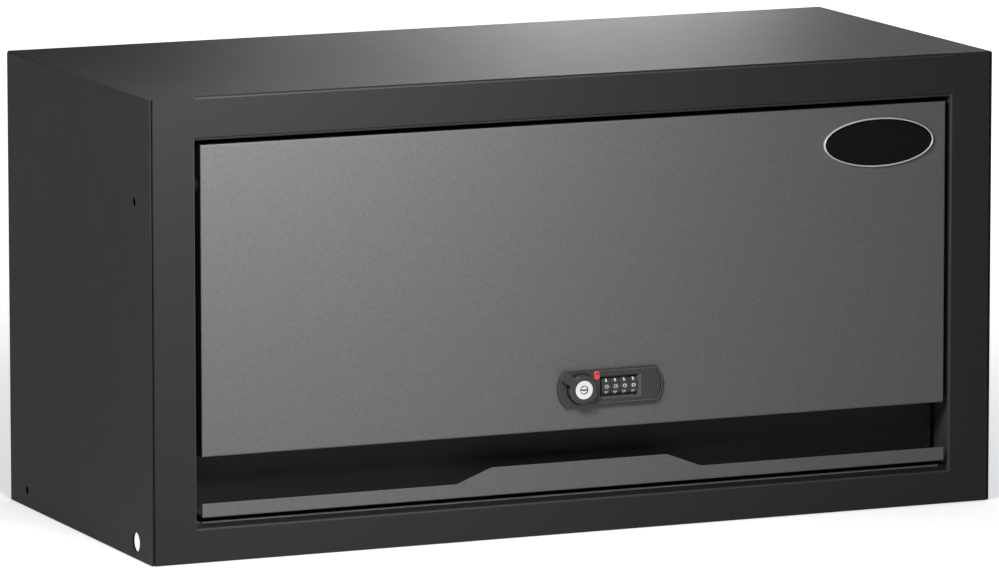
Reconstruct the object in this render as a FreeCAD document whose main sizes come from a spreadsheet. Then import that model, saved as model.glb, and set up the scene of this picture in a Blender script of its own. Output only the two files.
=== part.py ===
# Wall-mounted tool cabinet with a lift-up flap, a combination lock and two gas struts.
# Millimetres. X runs to the right, Y to the back and Z up. The origin is the middle of the
# whole part's box, on the surface that the cabinet's lower edges stand on.
import FreeCAD, Part
import math
import os
import re
import Sketcher
from FreeCAD import Vector

doc = FreeCAD.newDocument("tool_cabinet")

# Driving dimensions
SIZES = [
    ("cabinet_width", 680.0),
    ("cabinet_height", 343.5),
    ("cabinet_depth", 299.0),
    ("sheet_gauge", 1.2),
    ("shell_bend", 2.0),
    ("shell_setback", 1.2),
    ("seam_gap", 0.8),
    ("stile_reach", 34.8),
    ("stile_return", 32.0),
    ("stile_outer_flange", 20.0),
    ("opening_bend", 1.5),
    ("seam_bend", 1.3),
    ("top_rail_drop", 32.9),
    ("top_rail_bend", 3.0),
    ("top_rail_depth", 32.0),
    ("bottom_rail_height", 25.2),
    ("bottom_rail_step", 4.2),
    ("bottom_rail_setback", 5.0),
    ("bottom_rail_depth", 20.0),
    ("floor_height", 24.0),
    ("floor_flange", 16.0),
    ("back_flange", 12.0),
    ("wall_rail_height", 40.0),
    ("wall_rail_gauge", 2.0),
    ("wall_rail_end_gap", 14.0),
    ("wall_hole", 9.0),
    ("wall_hole_span", 560.0),
    ("wall_hole_below_top", 41.5),
    ("wall_hole_above_base", 62.0),
    ("access_hole", 15.0),
    ("joining_hole", 7.0),
    ("side_hole_from_front", 33.5),
    ("side_hole_from_back", 35.0),
    ("side_hole_low", 12.6),
    ("side_hole_high", 263.5),
    ("door_side_gap", 4.3),
    ("door_top_gap", 3.1),
    ("door_bottom_gap", 7.8),
    ("door_gauge", 1.0),
    ("door_bend", 1.3),
    ("panel_depth", 22.0),
    ("grip_height", 45.0),
    ("lip_height", 10.4),
    ("lip_return", 16.0),
    ("tab_rise", 10.7),
    ("tab_top_width", 142.5),
    ("tab_foot_width", 198.7),
    ("tab_corner_radius", 9.6),
    ("shelf_upturn", 8.0),
    ("pivot_behind_face", 11.0),
    ("pivot_below_top", 31.0),
    ("pivot_bolt_dia", 6.0),
    ("pivot_head_dia", 10.0),
    ("pivot_head_height", 2.5),
    ("pivot_nut_width", 10.0),
    ("pivot_nut_height", 5.0),
    ("pivot_bolt_end", 1.2),
    ("bush_dia", 8.4),
    ("bush_flange_dia", 12.0),
    ("bush_inner_length", 2.0),
    ("running_clearance", 0.05),
    ("moving_clearance", 0.3),
    ("over_cut", 1.0),
    ("lock_above_panel_edge", 30.6),
    ("plate_height", 26.4),
    ("plate_rise", 0.5),
    ("plate_end_radius", 18.9),
    ("plate_centres", 47.6),
    ("plate_stand_out", 3.0),
    ("plate_rim_radius", 0.9),
    ("well_radius", 11.75),
    ("well_offset", 0.3),
    ("window_centre", 31.2),
    ("window_width", 32.6),
    ("window_height", 16.4),
    ("window_bevel", 0.9),
    ("case_left", 13.5),
    ("case_right", 60.0),
    ("case_height", 25.0),
    ("knob_stand_out", 7.5),
    ("knob_radius", 11.1),
    ("knob_bevel", 0.9),
    ("wing_width", 7.0),
    ("wing_reach", 18.8),
    ("wing_thickness", 3.6),
    ("wing_angle", 145.0),
    ("barrel_radius", 9.0),
    ("plug_radius", 6.9),
    ("plug_length", 18.0),
    ("plug_proud", 0.3),
    ("key_slot_width", 5.0),
    ("key_slot_height", 1.2),
    ("plug_ring_radius", 2.9),
    ("plug_ring_width", 0.5),
    ("plug_ring_depth", 0.4),
    ("dial_radius", 8.0),
    ("dial_width", 6.7),
    ("dial_pitch", 7.3),
    ("dial_proud", 0.4),
    ("dial_notch", 0.8),
    ("axle_dia", 3.0),
    ("axle_end_bite", 4.0),
    ("indicator_width", 4.6),
    ("indicator_height", 6.7),
    ("indicator_offset", 12.4),
    ("indicator_rise", 9.35),
    ("indicator_proud", 0.6),
    ("cam_length", 51.0),
    ("cam_width", 18.0),
    ("cam_gauge", 2.5),
    ("cam_stud_radius", 4.0),
    ("cam_stud_end", 1.0),
    ("cam_nut_width", 13.0),
    ("cam_nut_height", 3.0),
    ("lock_screw_dia", 3.5),
    ("lock_screw_head", 7.0),
    ("lock_screw_head_height", 2.0),
    ("lock_screw_bite", 4.0),
    ("lock_screw_first", 24.0),
    ("lock_screw_pitch", 24.0),
    ("strike_width", 36.0),
    ("strike_overlap", 14.0),
    ("strike_foot", 24.0),
    ("strike_gauge", 1.6),
    ("strike_gap", 0.9),
    ("strut_from_opening", 15.2),
    ("strut_tube_dia", 14.0),
    ("strut_tube_rounding", 1.7),
    ("strut_rod_dia", 6.0),
    ("strut_rod_out", 30.0),
    ("strut_foot_back", 200.0),
    ("strut_head_back", 28.0),
    ("strut_head_below", 40.0),
    ("socket_radius", 6.5),
    ("socket_width", 13.0),
    ("socket_neck", 16.0),
    ("socket_neck_dia", 9.1),
    ("ball_radius", 4.6),
    ("stud_neck_dia", 5.6),
    ("stud_base_radius", 6.0),
    ("stud_base_height", 3.0),
    ("foot_bracket_height", 30.0),
    ("foot_bracket_leg", 26.0),
    ("foot_rivet_along", 15.6),
    ("bracket_gauge", 2.0),
    ("head_bracket_leg", 18.0),
    ("head_rivet_along", 10.8),
    ("head_bracket_height", 26.0),
    ("rivet_dia", 4.0),
    ("rivet_head", 8.0),
    ("rivet_head_height", 1.5),
    ("stop_height", 135.0),
    ("stop_length", 26.0),
    ("stop_reach", 17.0),
    ("stop_gauge", 1.5),
    ("buffer_thickness", 3.0),
    ("buffer_width", 10.0),
    ("badge_width", 91.0),
    ("badge_height", 37.2),
    ("badge_rim", 1.2),
    ("badge_thickness", 1.2),
    ("badge_rim_thickness", 1.9),
    ("badge_from_edge", 56.4),
    ("badge_below_top", 28.0),
]

sheet = doc.addObject("Spreadsheet::Sheet", "Sizes")
for row, (alias, number) in enumerate(SIZES, start=1):
    sheet.set("A%d" % row, alias)
    sheet.set("B%d" % row, str(number))
    sheet.setAlias("B%d" % row, alias)
doc.recompute()

# Places worked out from the driving dimensions, as expressions on the sheet's names
PLACES = {
    "half_width": "cabinet_width / 2",
    "front_shift": "-(cabinet_depth - knob_stand_out - plug_proud) / 2",
    "shell_inside": "cabinet_width / 2 - sheet_gauge",
    "under_top": "cabinet_height - sheet_gauge",
    "back_inside": "cabinet_depth - sheet_gauge",
    "upper_wall_hole": "cabinet_height - wall_hole_below_top",
    "opening_half": "cabinet_width / 2 - stile_reach",
    "opening_top": "cabinet_height - top_rail_drop",
    "door_half": "cabinet_width / 2 - stile_reach - door_side_gap",
    "door_top": "cabinet_height - top_rail_drop - door_top_gap",
    "door_bottom": "bottom_rail_height + door_bottom_gap",
    "panel_bottom": "bottom_rail_height + door_bottom_gap + grip_height",
    "pan_back": "panel_depth + door_gauge",
    "pivot_height": "cabinet_height - top_rail_drop - door_top_gap - pivot_below_top",
    "lock_height": "bottom_rail_height + door_bottom_gap + grip_height + lock_above_panel_edge",
    "plate_middle": "bottom_rail_height + door_bottom_gap + grip_height + lock_above_panel_edge"
                    " + plate_rise",
    "dial_axis": "dial_radius - plate_stand_out - dial_proud",
    "strike_front": "panel_depth + door_gauge + strike_gap",
    "cam_front": "panel_depth + door_gauge + 2 * strike_gap + strike_gauge",
    "strut_line": "cabinet_width / 2 - stile_reach - strut_from_opening",
    "foot_y": "pivot_behind_face + strut_foot_back",
    "head_y": "pivot_behind_face + strut_head_back",
    "badge_x": "cabinet_width / 2 - stile_reach - door_side_gap - badge_from_edge",
    "badge_z": "cabinet_height - top_rail_drop - door_top_gap - badge_below_top",
}

NAMES = re.compile(r"\b(" + "|".join([name for name, _ in SIZES] + list(PLACES)) + r")\b")


def formula(text):
    """Turn words such as 'sheet_gauge / 2' into an expression on the sheet's cells."""
    text = str(text)
    while True:
        swapped = NAMES.sub(lambda m: "(" + PLACES[m.group(1)] + ")"
                            if m.group(1) in PLACES else "Sizes_" + m.group(1), text)
        if swapped == text:
            return text.replace("Sizes_", "Sizes.")
        text = swapped


def number(text):
    """The value that an expression has now, in mm or degrees."""
    return float(sheet.evalExpression(formula(text).replace("Sizes.", "")))


def bind(thing, prop, text):
    thing.setExpression(prop, formula(text))


# Bodies, sketches and features
def new_body(label):
    body = doc.addObject("PartDesign::Body", label)
    body.Label = label
    bind(body, "Placement.Base.y", "front_shift")
    return body


def new_sketch(body, plane, level="0"):
    """A sketch on one of the body's own origin planes, moved to a level along its normal."""
    sketch = body.newObject("Sketcher::SketchObject", body.Label + "_sketch")
    origin_plane = [f for f in body.Origin.OriginFeatures if f.Role == plane + "_Plane"][0]
    sketch.AttachmentSupport = [(origin_plane, "")]
    sketch.MapMode = "FlatFace"
    bind(sketch, "AttachmentOffset.Base.z", level)
    return sketch


def fix_point(sketch, geometry, end, u, v):
    for kind, text in (("DistanceX", u), ("DistanceY", v)):
        index = sketch.addConstraint(Sketcher.Constraint(kind, -1, 1, geometry, end, number(text)))
        bind(sketch, "Constraints[%d]" % index, text)


def draw_outline(sketch, corners):
    """A closed outline of straight lines, each corner held by two dimensions."""
    ends = [Vector(number(u), number(v), 0) for u, v in corners]
    first = sketch.GeometryCount
    count = len(corners)
    for i in range(count):
        sketch.addGeometry(Part.LineSegment(ends[i], ends[(i + 1) % count]))
    for i in range(count):
        after = first + (i + 1) % count
        sketch.addConstraint(Sketcher.Constraint("Coincident", first + i, 2, after, 1))
    for i, (u, v) in enumerate(corners):
        fix_point(sketch, first + i, 1, u, v)


def draw_rectangle(sketch, u0, v0, u1, v1):
    draw_outline(sketch, [(u0, v0), (u1, v0), (u1, v1), (u0, v1)])


def draw_circle(sketch, u, v, radius):
    circle = Part.Circle(Vector(number(u), number(v), 0), Vector(0, 0, 1), number(radius))
    index = sketch.addGeometry(circle)
    fix_point(sketch, index, 3, u, v)
    size = sketch.addConstraint(Sketcher.Constraint("Radius", index, number(radius)))
    bind(sketch, "Constraints[%d]" % size, radius)


def draw_ellipse(sketch, u, v, half_long, half_short):
    """An ellipse held by its centre and by the ends of its two axes."""
    centre = Vector(number(u), number(v), 0)
    ellipse = Part.Ellipse(centre, number(half_long), number(half_short))
    index = sketch.addGeometry(ellipse)
    sketch.exposeInternalGeometry(index)
    fix_point(sketch, index + 1, 1, "(%s) + (%s)" % (u, half_long), v)
    fix_point(sketch, index, 3, u, v)
    short = sketch.addConstraint(
        Sketcher.Constraint("Distance", index + 2, 1, index + 2, 2, 2 * number(half_short)))
    bind(sketch, "Constraints[%d]" % short, "2 * (%s)" % half_short)


def pad(body, sketch, length):
    feature = body.newObject("PartDesign::Pad", body.Label + "_pad")
    feature.Profile = sketch
    bind(feature, "Length", length)
    doc.recompute()
    return feature


def pocket(body, sketch, length, reverse=False, both=False):
    """A cut whose volume is compared, because one that points away cuts nothing."""
    before = body.Shape.Volume
    feature = body.newObject("PartDesign::Pocket", body.Label + "_cut")
    feature.Profile = sketch
    feature.Reversed = reverse
    feature.Midplane = both
    bind(feature, "Length", length)
    doc.recompute()
    if body.Shape.Volume > before - 1e-6:
        raise RuntimeError("a cut in %s takes nothing away" % body.Label)
    return feature


def edges_where(shape, test):
    """Names of the straight edges whose direction and middle pass a test."""
    names = []
    for i, edge in enumerate(shape.Edges, start=1):
        if edge.Curve.TypeId != "Part::GeomLine":
            continue
        a, b = edge.Vertexes[0].Point, edge.Vertexes[-1].Point
        if test((b - a).normalize(), (a + b) * 0.5):
            names.append("Edge%d" % i)
    return names


def near(value, text):
    return abs(value - number(text)) < 1e-3


def round_edges(body, base, radius, test, kind="Fillet"):
    names = edges_where(base.Shape, test)
    if not names:
        raise RuntimeError("no edge to round in %s" % body.Label)
    feature = body.newObject("PartDesign::" + kind, body.Label + "_edge")
    feature.Base = (base, names)
    bind(feature, "Size" if kind == "Chamfer" else "Radius", radius)
    doc.recompute()
    return feature


def hollow(body, base, gauge, open_faces):
    """Leave a folded sheet: keep the outside, and open the faces that point as told."""
    names = []
    for i, face in enumerate(base.Shape.Faces, start=1):
        if face.Surface.TypeId != "Part::GeomPlane":
            continue
        normal = face.normalAt(0, 0)
        if any(normal.dot(way) > 0.999 for way in open_faces):
            names.append("Face%d" % i)
    before = base.Shape.Volume
    feature = body.newObject("PartDesign::Thickness", body.Label + "_sheet")
    feature.Base = (base, names)
    feature.Reversed = True
    feature.Mode = 0
    feature.Join = 0
    bind(feature, "Value", gauge)
    doc.recompute()
    if not 0 < body.Shape.Volume < before:
        raise RuntimeError("%s was not hollowed" % body.Label)
    return feature


LEFT, RIGHT = Vector(-1, 0, 0), Vector(1, 0, 0)
FRONT, BACK = Vector(0, -1, 0), Vector(0, 1, 0)
DOWN, UP = Vector(0, 0, -1), Vector(0, 0, 1)


def block(body, x0, x1, y0, y1, z0, z1):
    """A plain block to fold or cut, drawn on the XY plane."""
    sketch = new_sketch(body, "XY", z0)
    draw_rectangle(sketch, x0, y0, x1, y1)
    return pad(body, sketch, "(%s) - (%s)" % (z1, z0))


def front_view(body, level):
    """A sketch seen from the front (u is X, v is Z), at a distance behind the face."""
    return new_sketch(body, "XZ", "-(%s)" % level)


def side_view(body, level):
    """A sketch seen from the right (u is Y, v is Z), at a place along X."""
    return new_sketch(body, "YZ", level)


def mirrored(source, label):
    twin = doc.addObject("Part::Mirroring", label)
    twin.Label = label
    twin.Source = source
    twin.Base = Vector(0, 0, 0)
    twin.Normal = Vector(1, 0, 0)
    doc.recompute()
    return twin


def group(label, members):
    """Identical pieces that share one node as separate solids."""
    together = doc.addObject("Part::Compound", label)
    together.Label = label
    together.Links = members
    doc.recompute()
    return together


nodes = []


def keep(thing):
    nodes.append(thing)
    return thing


# Wrapper: both sides and the top are one folded sheet
def make_body_shell():
    body = new_body("body_shell")
    base = block(body, "-half_width", "half_width", "shell_setback", "cabinet_depth",
                 "0", "cabinet_height")
    base = round_edges(body, base, "shell_bend",
                       lambda way, mid: abs(way.y) > 0.9 and near(mid.z, "cabinet_height"))
    hollow(body, base, "sheet_gauge", [FRONT, BACK, DOWN])
    holes = [
        ("side_hole_from_front", "side_hole_low", "access_hole / 2"),
        ("side_hole_from_front", "side_hole_high", "joining_hole / 2"),
        ("cabinet_depth - side_hole_from_back", "side_hole_low", "joining_hole / 2"),
    ]
    sketch = side_view(body, "0")
    for u, v, radius in holes:
        draw_circle(sketch, u, v, radius)
    pocket(body, sketch, "cabinet_width + sheet_gauge", both=True)
    return keep(body)


# Front frame: two stiles with the rails between them
def make_stile():
    body = new_body("left_stile")
    outer = "-(half_width - sheet_gauge - seam_gap)"
    base = block(body, outer, "-opening_half", "0", "stile_return", "0", "cabinet_height")
    base = round_edges(body, base, "opening_bend",
                       lambda way, mid: abs(way.z) > 0.9 and near(mid.y, "0")
                       and near(mid.x, "-opening_half"))
    base = round_edges(body, base, "seam_bend",
                       lambda way, mid: abs(way.z) > 0.9 and near(mid.y, "0")
                       and mid.x < number("-half_width + stile_reach / 2"))
    hollow(body, base, "sheet_gauge", [BACK, DOWN, UP])
    under_shell = side_view(body, "-half_width")
    draw_rectangle(under_shell, "shell_setback", "under_top",
                   "stile_return + sheet_gauge", "cabinet_height + sheet_gauge")
    pocket(body, under_shell, "half_width", reverse=True)
    short_flange = side_view(body, "-half_width")
    draw_rectangle(short_flange, "stile_outer_flange", "-sheet_gauge",
                   "stile_return + sheet_gauge", "cabinet_height + sheet_gauge")
    pocket(body, short_flange, "stile_reach / 2", reverse=True)
    pivot = side_view(body, "-half_width")
    draw_circle(pivot, "pivot_behind_face", "pivot_height", "pivot_bolt_dia / 2")
    pocket(body, pivot, "half_width", reverse=True)
    return keep(body)


def make_top_rail():
    body = new_body("top_rail")
    base = block(body, "-opening_half", "opening_half", "0", "top_rail_depth",
                 "opening_top", "under_top")
    base = round_edges(body, base, "top_rail_bend",
                       lambda way, mid: abs(way.x) > 0.9 and near(mid.y, "0")
                       and near(mid.z, "opening_top"))
    base = round_edges(body, base, "seam_bend",
                       lambda way, mid: abs(way.x) > 0.9 and near(mid.y, "0")
                       and near(mid.z, "under_top"))
    hollow(body, base, "sheet_gauge", [BACK, LEFT, RIGHT])
    return keep(body)


def make_bottom_rail():
    """A folded rail whose top steps back and up, which narrows the gap under the flap."""
    body = new_body("bottom_rail")
    step_top = "bottom_rail_height + bottom_rail_step"
    profile = side_view(body, "-opening_half")
    draw_outline(profile, [
        ("0", "0"),
        ("0", "bottom_rail_height"),
        ("bottom_rail_setback", "bottom_rail_height"),
        ("bottom_rail_setback", step_top),
        ("bottom_rail_depth", step_top),
        ("bottom_rail_depth", "0"),
    ])
    base = pad(body, profile, "2 * opening_half")
    base = round_edges(body, base, "opening_bend",
                       lambda way, mid: abs(way.x) > 0.9 and (near(mid.z, step_top)
                       or near(mid.z, "bottom_rail_height") and near(mid.y, "0")))
    hollow(body, base, "sheet_gauge", [DOWN, LEFT, RIGHT])
    return keep(body)


def make_floor_panel():
    body = new_body("floor_panel")
    low = "floor_height - sheet_gauge"
    base = block(body, "-shell_inside", "shell_inside", "bottom_rail_depth", "back_inside",
                 low, "floor_height + floor_flange")
    base = round_edges(body, base, "shell_bend",
                       lambda way, mid: near(mid.z, low) and not near(mid.y, "bottom_rail_depth"))
    hollow(body, base, "sheet_gauge", [UP, FRONT])
    corners = new_sketch(body, "XY", "0")
    for side in ("-", ""):
        draw_rectangle(corners, side + "(opening_half)", "0",
                       side + "(half_width)", "stile_return")
    pocket(body, corners, "cabinet_height", reverse=True)
    return keep(body)


def make_back_panel():
    body = new_body("back_panel")
    half = "(shell_inside - shell_bend + sheet_gauge)"
    base = block(body, "-" + half, half, "cabinet_depth - back_flange",
                 "cabinet_depth", "0", "under_top")
    base = round_edges(body, base, "shell_bend",
                       lambda way, mid: abs(way.x) > 0.9 and near(mid.y, "cabinet_depth"))
    hollow(body, base, "sheet_gauge", [FRONT, LEFT, RIGHT])
    cut_wall_holes(body, ["upper_wall_hole", "wall_hole_above_base"])
    return keep(body)


def cut_wall_holes(body, heights):
    sketch = front_view(body, "0")
    for height in heights:
        for side in ("-", ""):
            draw_circle(sketch, side + "wall_hole_span / 2", height, "wall_hole / 2")
    pocket(body, sketch, "2 * cabinet_depth")


def make_wall_rail(label, height):
    """A flat strip behind the back panel's holes, which spreads the load of the wall bolts."""
    body = new_body(label)
    half = "shell_inside - wall_rail_end_gap"
    sketch = front_view(body, "back_inside")
    draw_rectangle(sketch, "-(%s)" % half, "%s - wall_rail_height / 2" % height,
                   half, "%s + wall_rail_height / 2" % height)
    pad(body, sketch, "wall_rail_gauge")
    cut_wall_holes(body, [height])
    return keep(body)


# Flap: a light front panel on a dark inner pan that carries on down as the grip channel
def make_door_front_panel():
    body = new_body("door_front_panel")
    base = block(body, "-door_half", "door_half", "0", "panel_depth", "panel_bottom", "door_top")
    base = round_edges(body, base, "door_bend", lambda way, mid: near(mid.y, "0"))
    hollow(body, base, "door_gauge", [BACK])
    pivots = side_view(body, "0")
    draw_circle(pivots, "pivot_behind_face", "pivot_height", "bush_dia / 2")
    pocket(body, pivots, "cabinet_width", both=True)
    opening = front_view(body, "-plate_stand_out")
    draw_rectangle(opening, "-case_left", "plate_middle - case_height / 2",
                   "case_right", "plate_middle + case_height / 2")
    pocket(body, opening, "plate_stand_out + 2 * door_gauge")
    return keep(body)


def make_door_inner_pan():
    body = new_body("door_inner_pan")
    lip_back = "door_gauge"
    profile = side_view(body, "-door_half")
    draw_outline(profile, [
        ("pan_back", "door_top"),
        ("panel_depth", "door_top"),
        ("panel_depth", "door_bottom + 2 * door_gauge"),
        (lip_back + " + door_gauge", "door_bottom + 2 * door_gauge"),
        (lip_back + " + door_gauge", "door_bottom + shelf_upturn"),
        (lip_back, "door_bottom + shelf_upturn"),
        (lip_back, "door_bottom + door_gauge"),
        ("pan_back", "door_bottom + door_gauge"),
    ])
    base = pad(body, profile, "2 * door_half")
    base = round_edges(body, base, "door_bend",
                       lambda way, mid: abs(way.x) > 0.9 and near(mid.z, "door_bottom + door_gauge")
                       and near(mid.y, "pan_back"))
    barrel = front_view(body, "0")
    draw_circle(barrel, "0", "lock_height", "barrel_radius + moving_clearance")
    for i in range(2):
        draw_circle(barrel, "lock_screw_first + %d * lock_screw_pitch" % i, "lock_height",
                    "lock_screw_dia / 2")
    pocket(body, barrel, "2 * panel_depth")
    return keep(body)


def make_pull_strip():
    """The upturned edge that the hand lifts, with its raised tab in the middle."""
    body = new_body("pull_strip")
    face = front_view(body, "door_gauge")
    lip_top = "door_bottom + lip_height"
    tab_top = lip_top + " + tab_rise"
    draw_outline(face, [
        ("-door_half", "door_bottom"),
        ("door_half", "door_bottom"),
        ("door_half", lip_top),
        ("tab_foot_width / 2", lip_top),
        ("tab_top_width / 2", tab_top),
        ("-tab_top_width / 2", tab_top),
        ("-tab_foot_width / 2", lip_top),
        ("-door_half", lip_top),
    ])
    pad(body, face, "door_gauge")
    flange = new_sketch(body, "XY", "door_bottom")
    draw_rectangle(flange, "-door_half", "0", "door_half", "lip_return")
    base = pad(body, flange, "door_gauge")
    base = round_edges(body, base, "door_bend",
                       lambda way, mid: abs(way.x) > 0.9 and near(mid.y, "0")
                       and near(mid.z, "door_bottom"))
    round_edges(body, base, "tab_corner_radius",
                lambda way, mid: abs(way.y) > 0.9 and abs(mid.x) < number("door_half - 1"))
    return keep(body)


# Pivots of the flap: a bolt through each stile, in a flanged bush in the flap's side
def make_pivots():
    bush = new_body("left_bush")
    axis = ("pivot_behind_face", "pivot_height")
    flange = side_view(bush, "-opening_half + moving_clearance")
    draw_circle(flange, *axis, "bush_flange_dia / 2")
    pad(bush, flange, "door_side_gap - moving_clearance")
    barrel = side_view(bush, "-door_half")
    draw_circle(barrel, *axis, "bush_dia / 2")
    pad(bush, barrel, "door_gauge + bush_inner_length")
    bore = side_view(bush, "-opening_half")
    draw_circle(bore, *axis, "pivot_bolt_dia / 2 + running_clearance")
    pocket(bush, bore, "cabinet_width / 2", reverse=True)

    bolt = new_body("left_pivot_bolt")
    inner_end = "-door_half + door_gauge + bush_inner_length + moving_clearance"
    nut_side = "-opening_half - sheet_gauge"
    outer_end = nut_side + " - pivot_nut_height - pivot_bolt_end"
    shank = side_view(bolt, outer_end)
    draw_circle(shank, *axis, "pivot_bolt_dia / 2")
    pad(bolt, shank, "(%s) - (%s)" % (inner_end, outer_end))
    head = side_view(bolt, inner_end)
    draw_circle(head, *axis, "pivot_head_dia / 2")
    pad(bolt, head, "pivot_head_height")

    nut = new_body("left_pivot_nut")
    hexagon = side_view(nut, nut_side + " - pivot_nut_height")
    draw_hexagon(hexagon, *axis, "pivot_nut_width")
    draw_circle(hexagon, *axis, "pivot_bolt_dia / 2")
    pad(nut, hexagon, "pivot_nut_height")
    for label, left in (("pivot_bushes", bush), ("pivot_bolts", bolt), ("pivot_nuts", nut)):
        keep(group(label, [left, mirrored(left, "right_" + label)]))


def draw_hexagon(sketch, u, v, across_flats):
    corners = []
    for i in range(6):
        angle = 60 * i
        reach = "(%s) / sqrt(3)" % across_flats
        corners.append(("(%s) + %s * cos(%d deg)" % (u, reach, angle),
                        "(%s) + %s * sin(%d deg)" % (v, reach, angle)))
    draw_outline(sketch, corners)


# Combination lock
INDICATOR_BOX = (
    "indicator_offset - indicator_width / 2",
    "lock_height + indicator_rise - indicator_height / 2",
    "indicator_offset + indicator_width / 2",
    "lock_height + indicator_rise + indicator_height / 2",
)


def make_lock_plate():
    body = new_body("lock_plate")
    half = number("plate_height / 2")
    radius = number("plate_end_radius")
    centre_z = number("plate_middle")
    far = number("plate_centres")
    sweep = math.asin(half / radius)
    run = radius * math.cos(sweep)
    sketch = front_view(body, "0")
    right = Part.ArcOfCircle(Part.Circle(Vector(far, centre_z, 0), Vector(0, 0, 1), radius),
                             -sweep, sweep)
    left = Part.ArcOfCircle(Part.Circle(Vector(0, centre_z, 0), Vector(0, 0, 1), radius),
                            math.pi - sweep, math.pi + sweep)
    sketch.addGeometry(right)
    sketch.addGeometry(Part.LineSegment(Vector(far + run, centre_z + half, 0),
                                        Vector(-run, centre_z + half, 0)))
    sketch.addGeometry(left)
    sketch.addGeometry(Part.LineSegment(Vector(-run, centre_z - half, 0),
                                        Vector(far + run, centre_z - half, 0)))
    for i in range(4):
        sketch.addConstraint(Sketcher.Constraint("Coincident", i, 2, (i + 1) % 4, 1))
    for index, u in ((0, "plate_centres"), (2, "0")):
        fix_point(sketch, index, 3, u, "plate_middle")
        size = sketch.addConstraint(Sketcher.Constraint("Radius", index, radius))
        bind(sketch, "Constraints[%d]" % size, "plate_end_radius")
    for index, sign in ((1, "+"), (3, "-")):
        sketch.addConstraint(Sketcher.Constraint("Horizontal", index))
        text = "plate_middle %s plate_height / 2" % sign
        level = sketch.addConstraint(
            Sketcher.Constraint("DistanceY", -1, 1, index, 1, number(text)))
        bind(sketch, "Constraints[%d]" % level, text)
    base = pad(body, sketch, "plate_stand_out")
    outer = [name for name, edge in named_edges(base.Shape)
             if all(near(v.Point.y, "-plate_stand_out") for v in edge.Vertexes)]
    rim = body.newObject("PartDesign::Fillet", "lock_plate_rim")
    rim.Base = (base, outer)
    bind(rim, "Radius", "plate_rim_radius")
    doc.recompute()
    cuts = front_view(body, "-plate_stand_out")
    draw_circle(cuts, "-well_offset", "lock_height", "well_radius")
    pocket(body, cuts, "2 * plate_stand_out")
    cuts = front_view(body, "-plate_stand_out")
    draw_rectangle(cuts, *INDICATOR_BOX)
    draw_rectangle(cuts, "window_centre - window_width / 2", "plate_middle - window_height / 2",
                   "window_centre + window_width / 2", "plate_middle + window_height / 2")
    base = pocket(body, cuts, "2 * plate_stand_out")
    round_edges(body, base, "window_bevel",
                lambda way, mid: near(mid.y, "-plate_stand_out")
                and (near(mid.z, "plate_middle - window_height / 2")
                     or near(mid.x, "window_centre + window_width / 2")), "Chamfer")
    return keep(body)


def named_edges(shape):
    return [("Edge%d" % i, edge) for i, edge in enumerate(shape.Edges, start=1)]


def make_lock_case():
    """The body of the lock behind its plate, with a bay for the dials and a bore for the barrel."""
    body = new_body("lock_case")
    outline = front_view(body, "panel_depth")
    draw_rectangle(outline, "-case_left", "plate_middle - case_height / 2",
                   "case_right", "plate_middle + case_height / 2")
    pad(body, outline, "panel_depth")
    bore = front_view(body, "0")
    draw_circle(bore, "0", "lock_height", "barrel_radius + running_clearance")
    pocket(body, bore, "2 * panel_depth")
    bay = side_view(body, "window_centre - window_width / 2")
    draw_circle(bay, "dial_axis", "plate_middle", "dial_radius + moving_clearance")
    pocket(body, bay, "window_width", reverse=True)
    axle = side_view(body, "window_centre")
    draw_circle(axle, "dial_axis", "plate_middle", "axle_dia / 2")
    pocket(body, axle, "window_width + 2 * axle_end_bite", both=True)
    screws = front_view(body, "panel_depth")
    for i in range(2):
        draw_circle(screws, "lock_screw_first + %d * lock_screw_pitch" % i, "lock_height",
                    "lock_screw_dia / 2")
    pocket(body, screws, "lock_screw_bite", reverse=True)
    return keep(body)


def make_dials():
    axle = new_body("dial_axle")
    rod = side_view(axle, "window_centre - window_width / 2 - axle_end_bite")
    draw_circle(rod, "dial_axis", "plate_middle", "axle_dia / 2")
    pad(axle, rod, "window_width + 2 * axle_end_bite")
    keep(axle)
    for i in range(4):
        make_dial(i)


NUMBERS_ON_DIAL = 10
NOTCH_HALF_ANGLE = 4


def make_dial(i):
    """One number dial: a drum with a notch between each pair of its ten numbers."""
    body = new_body("number_dial_%d" % (i + 1))
    middle = "window_centre + %s * dial_pitch" % (i - 1.5)
    bind(body, "Placement.Base.x", middle)
    bind(body, "Placement.Base.y", "front_shift + dial_axis")
    bind(body, "Placement.Base.z", "plate_middle")
    drum = side_view(body, "-dial_width / 2")
    draw_circle(drum, "0", "0", "dial_radius")
    draw_circle(drum, "0", "0", "axle_dia / 2 + running_clearance")
    base = pad(body, drum, "dial_width")
    notch = side_view(body, "-dial_width / 2")
    half_step = 180 / NUMBERS_ON_DIAL
    corners = []
    for reach, angle in (("dial_radius - dial_notch / 2", half_step),
                         ("dial_radius + dial_notch", half_step + NOTCH_HALF_ANGLE),
                         ("dial_radius + dial_notch", half_step - NOTCH_HALF_ANGLE)):
        corners.append(("-(%s) * cos(%d deg)" % (reach, angle),
                        "(%s) * sin(%d deg)" % (reach, angle)))
    draw_outline(notch, corners)
    cut = pocket(body, notch, "dial_width", reverse=True)
    turns = body.newObject("PartDesign::PolarPattern", body.Label + "_ten")
    turns.Originals = [cut]
    turns.Axis = ([f for f in body.Origin.OriginFeatures if f.Role == "X_Axis"][0], [""])
    turns.Angle = 360
    turns.Occurrences = NUMBERS_ON_DIAL
    body.Tip = turns
    doc.recompute()
    return keep(body)


def make_status_indicator():
    body = new_body("status_indicator")
    face = front_view(body, "0")
    draw_rectangle(face, *INDICATOR_BOX)
    pad(body, face, "plate_stand_out + indicator_proud")
    return keep(body)


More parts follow.
